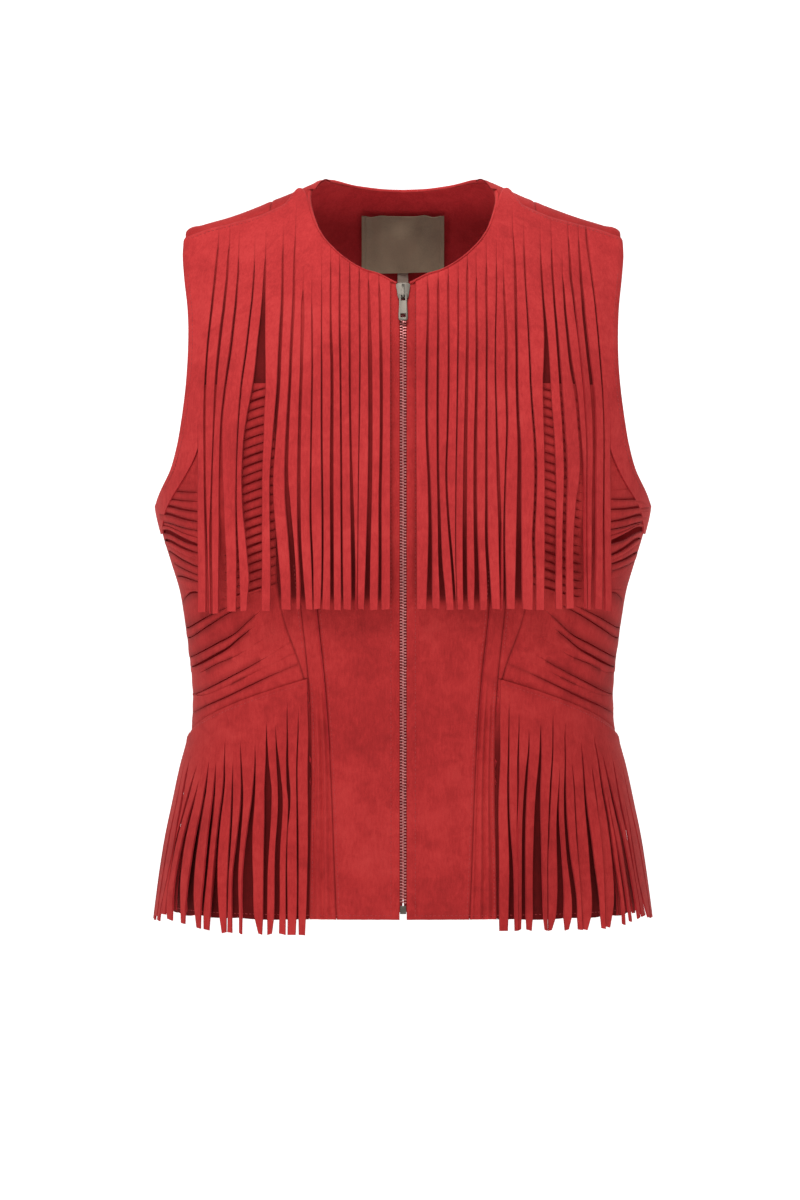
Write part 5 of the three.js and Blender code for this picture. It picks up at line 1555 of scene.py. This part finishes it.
half_path, half_hint, size_n = [], [], []
for x in np.linspace(5.0, 75.2, 50):
    z = float(front_top_at(x))
    p, q = chest_point(x, z, 0.3), chest_point(x, z, 1.3)
    half_path.append(p)
    half_hint.append(q - p)
    size_n.append(1.95)
for f in np.linspace(0.0, 1.0, 7):
    half_path.append(np.array([76.6, -20.6, -6.8]) * (1 - f) + np.array([69.7, 0.6, 6.8]) * f)
    half_hint.append(np.array([0.75, -0.35 + 0.5 * f, 0.55]))
    size_n.append(1.95 - 0.5 * f)
for x in np.linspace(67.5, 0.0, 40):
    th = th_of(x, -40.0)
    t = np.array([float(drop_t(th, back_neck_at(x)))])
    th = np.array([float(th)])
    half_path.append(lay(th, t, -0.75)[0] + np.array([0, 0, 1.0 * float(smooth(44, 58, x))]))
    half_hint.append(norm(th, t)[0])
    size_n.append(1.4 + 0.4 * float(smooth(44, 58, x)))
half_path, half_hint = np.array(half_path), np.array(half_hint)
for _ in range(8):
    a, b = 45, 64
    half_path[a:b] = (half_path[a - 1:b - 1] + 2 * half_path[a:b] + half_path[a + 1:b + 1]) / 4
    half_hint[a:b] = (half_hint[a - 1:b - 1] + 2 * half_hint[a:b] + half_hint[a + 1:b + 1]) / 4
size_b = [0.95] * 44 + [1.25] * 28 + [0.95] * (len(size_n) - 72)
path = np.concatenate([half_path[:-1], (half_path * MIRROR)[::-1]])
hint = np.concatenate([half_hint[:-1], (half_hint * MIRROR)[::-1]])
solids["neck_edge"] = edge_roll("vest_neck_edge", path, hint, size_n[:-1] + size_n[::-1], size_b[:-1] + size_b[::-1])


# ------------------------------------------------------------------------------------------------- stitches
def along(P, pitch):
    d = np.concatenate([[0], np.cumsum(np.linalg.norm(np.diff(P, axis=0), axis=1))])
    n = max(1, int(d[-1] / pitch))
    s = (np.arange(n) + 0.5) * d[-1] / n
    out = np.stack([np.interp(s, d, P[:, k]) for k in range(3)], axis=1)
    ahead = np.stack([np.interp(s + 0.4, d, P[:, k]) for k in range(3)], axis=1)
    back_ = np.stack([np.interp(s - 0.4, d, P[:, k]) for k in range(3)], axis=1)
    t = ahead - back_
    return out, t / np.maximum(np.linalg.norm(t, axis=1, keepdims=True), 1e-9)


def sew(solid, P, N, pitch=3.3, length=2.5, radius=0.27, r=None):
    """A run of stitches along the points P, which lie on the outer face; N points out of it."""
    r = r or rng
    at, tangent = along(np.asarray(P, float), pitch)
    normal, _ = along(np.asarray(P, float) + np.asarray(N, float), pitch)
    if len(normal) != len(at):
        k = np.linspace(0, len(normal) - 1, len(at)).round().astype(int)
        normal = normal[k]
    for p, t, q in zip(at, tangent, normal):
        n = q - p
        n = n - t * float(np.dot(n, t))
        n = n / max(np.linalg.norm(n), 1e-9)
        b = np.cross(t, n)
        half = length / 2 * r.uniform(0.94, 1.05)
        lean = r.uniform(-0.06, 0.06)
        t2 = t + b * lean
        rings = []
        for s, k, h in ((-half, 0.45, -0.24), (-half * 0.6, 1.0, 0.02), (half * 0.6, 1.0, 0.02), (half, 0.45, -0.24)):
            rings.append([p + t2 * s + n * (h + radius * k * math.sin(a) * 0.9) + b * radius * k * math.cos(a)
                          for a in np.arange(5) * 2 * math.pi / 5])
        solid.loft(rings)


def on_panel(th, z, side, lift=0.0, extra=None):
    """Points and outward normals on the base layer."""
    th, z = np.broadcast_arrays(np.asarray(th, float), np.asarray(z, float))
    m = MIRROR if side < 0 else np.ones(3)
    t = -drop_t(th, z)
    P = surf(th, t) * m
    n = norm(th, t) * m
    h = creases(P) + lift
    if extra is not None:
        h = h + extra(th, t, P)
    return P + n * h[..., None], n


def on_back(th, z, side, lift=0.0):
    th, z = np.broadcast_arrays(np.asarray(th, float), np.asarray(z, float))
    m = MIRROR if side < 0 else np.ones(3)
    t = drop_t(th, z)
    P = surf(th, t) * m
    n = norm(th, t) * m
    return P + n * (creases(P) + lift)[..., None], n


def on_chest(x, z, side, lift=0.0):
    x, z = np.broadcast_arrays(np.asarray(x, float), np.asarray(z, float))
    P = chest_point(x * side, z, np.full(x.shape, LIFT_TOP))
    n = chest_point(x * side, z, 1.0) - chest_point(x * side, z, 0.0)
    return P + n * (smooth(-190, -120, z) * creases(P) * 0.8 + lift)[..., None], n


def on_hip(th, z, side, lift=0.0):
    th, z = np.broadcast_arrays(np.asarray(th, float), np.asarray(z, float))
    m = MIRROR if side < 0 else np.ones(3)
    n = norm(th, -drop_t(th, z)) * m
    return hip_point(th, z, np.full(th.shape, 1.6 + lift)) * m, n


marks = Solid("vest_stitches_label", [THREAD_TAN], "label", node=None)
for x in (-31.4, 31.4):
    zl = np.linspace(-55.0, -13.0, 40)
    xl = np.full(zl.shape, x)
    col = LABEL_GRID[int(np.argmin(np.abs(LABEL_GRID[:, 20, 0] - x)))]
    P = np.stack([np.interp(zl, col[:, 2], col[:, k]) for k in range(3)], axis=1)
    sew(marks, P, np.tile([0.0, -1.0, 0.05], (len(zl), 1)), pitch=2.6, length=1.9, radius=0.24, r=random.Random(3))
solids["stitches_label"] = marks
for side, tag in ((1, "R"), (-1, "L")):
    r = random.Random(90 + side)
    front = Solid("vest_stitches_front_" + tag, [THREAD], "suede")
    # beside the zip, and the hem
    z = np.linspace(-573, -88, 240)
    x = np.full(z.shape, 9.4)
    sew(front, *on_panel(th_of(x, z), z, side, 0.0, placket), r=r)
    th = np.linspace(th_of(2.9, -577.0), 90 * RAD, 160)
    sew(front, *on_panel(th, np.full(th.shape, row_z(ROW_F[0], ROW_S[0], th) + 3.2), side), r=r)
    # both edges of the narrow strip, from the hem up; the hip fringe covers the outer side of its outer seam
    for column, off, z_top in ((C_PRINCESS, -2.3, -262.0), (C_STRIP, -2.2, -392.0)):
        z = np.linspace(-573, z_top, 160)
        x = column_x[column](z) + off
        sew(front, *on_panel(th_of(x, z), z, side, 0.0), r=r)
    # above the waist the strip's outer seam leans out
    z = np.linspace(-386, -300, 50)
    x = column_x[C_STRIP](z) + 2.2
    sew(front, *on_panel(th_of(x, z), z, side), r=r)
    solids["stitches_front_" + tag] = front
    hip = Solid("vest_stitches_hip_" + tag, [THREAD], "suede")
    th = np.linspace(th_of(column_x[C_STRIP](-389.0), -389.0) + 0.02, 89 * RAD, 90)
    sew(hip, *on_hip(th, waist_z(th) - 3.4, side), r=r)
    solids["stitches_hip_" + tag] = hip
    # shoulder seam and armhole border, on the overlay
    chest = Solid("vest_stitches_chest_" + tag, [THREAD], "suede")
    x = np.linspace(84, 171, 60)
    sew(chest, *on_chest(x, front_top_at(x) - 3.6, side, 0.2), r=r)
    z = np.linspace(-70, -240, 90)
    sew(chest, *on_chest(arm_front(z) - 4.0, z, side, 0.2), r=r)
    solids["stitches_chest_" + tag] = chest
    # back: armhole, the two long seams, hem
    rear = Solid("vest_stitches_back_" + tag, [THREAD], "suede")
    th = np.linspace(0.0, 90 * RAD, 150)
    sew(rear, *on_back(th, np.full(th.shape, row_z(ROW_F[0], ROW_S[0], 90 * RAD) + 3.2), side), r=r)
    z = np.linspace(-52, -236, 90)
    x = arm_back(z) - 4.0
    sew(rear, *on_back(th_of(x, z), z, side), r=r)
    for off in (-2.4, 2.4):
        z = np.linspace(-572, -70, 200)
        x = back_seam_x(z) + off
        sew(rear, *on_back(th_of(x, z), z, side), r=r)
    solids["stitches_back_" + tag] = rear


# === TAIL
# ------------------------------------------------------------------------------------------------- build, light
areas = {}
for key, sheet in sheets.items():
    sheet.build()
    areas[key] = sheet.area
for key, solid in solids.items():
    solid.build()

camera = bpy.data.cameras.new("camera")
camera.lens = 112.5
camera.sensor_width = 36
camera.sensor_fit = "AUTO"
camera_object = bpy.data.objects.new("camera", camera)
camera_object.location = (-0.0024, -3.0, -0.328)
camera_object.rotation_euler = (math.pi / 2, 0, 0)
bpy.context.scene.collection.objects.link(camera_object)
bpy.context.scene.camera = camera_object


def area_light(name, at, look, size, watts, color=(1, 1, 1)):
    data = bpy.data.lights.new(name, "AREA")
    data.shape = "RECTANGLE"
    data.size, data.size_y = size
    data.energy = watts
    data.color = color
    o = bpy.data.objects.new(name, data)
    o.location = at
    o.rotation_euler = (Vector(look) - Vector(at)).to_track_quat("-Z", "Y").to_euler()
    bpy.context.scene.collection.objects.link(o)
    return o


area_light("key_above", (-0.45, -2.0, 2.2), (0, 0, -0.2), (1.5, 1.1), 62)
area_light("fill_front", (1.3, -3.2, 0.2), (0, 0, -0.3), (1.6, 1.6), 9)
area_light("fill_left", (-2.3, -1.6, 0.1), (0, 0, -0.35), (1.2, 1.6), 10)
area_light("neck_top", (-0.03, -0.27, 0.45), (0, 0.09, -0.01), (0.16, 0.1), 1.15)
area_light("rim_back", (0.4, 2.0, 1.6), (0, 0, -0.3), (1.6, 1.0), 22)

world = bpy.data.worlds.new("studio")
world.use_nodes = True
world.node_tree.nodes["Background"].inputs["Color"].default_value = (1, 1, 1, 1)
world.node_tree.nodes["Background"].inputs["Strength"].default_value = 0.24
bpy.context.scene.world = world
bpy.context.scene.view_settings.view_transform = "Standard"

paper = Nodes("backdrop_paper")
paper.bsdf.inputs["Roughness"].default_value = 0.95
mottle = paper.noise(3.0, 3, 0.5)
tone = paper.ramp(mottle, [(0.2, (0.90, 0.90, 0.895)), (0.8, (0.935, 0.935, 0.93))])
paper.link(tone, "Color", paper.bsdf, "Base Color")
paper.bsdf.inputs["Emission Color"].default_value = (1, 1, 1, 1)
paper.bsdf.inputs["Emission Strength"].default_value = 0.62
profile = [(-5.0, -1.30), (3.4, -1.30)]
profile += [(3.4 + 1.6 * math.sin(a), 0.30 - 1.6 * math.cos(a)) for a in np.linspace(0.1, math.pi / 2, 14)]
profile += [(5.0, 4.2)]
verts, faces = [], []
for k, (y, z) in enumerate(profile):
    verts += [(-6.0, y, z), (6.0, y, z)]
    if k:
        faces.append((2 * k - 2, 2 * k - 1, 2 * k + 1, 2 * k))
floor = to_object("backdrop", verts, faces, [paper.mat])
for p in floor.data.polygons:
    p.use_smooth = True
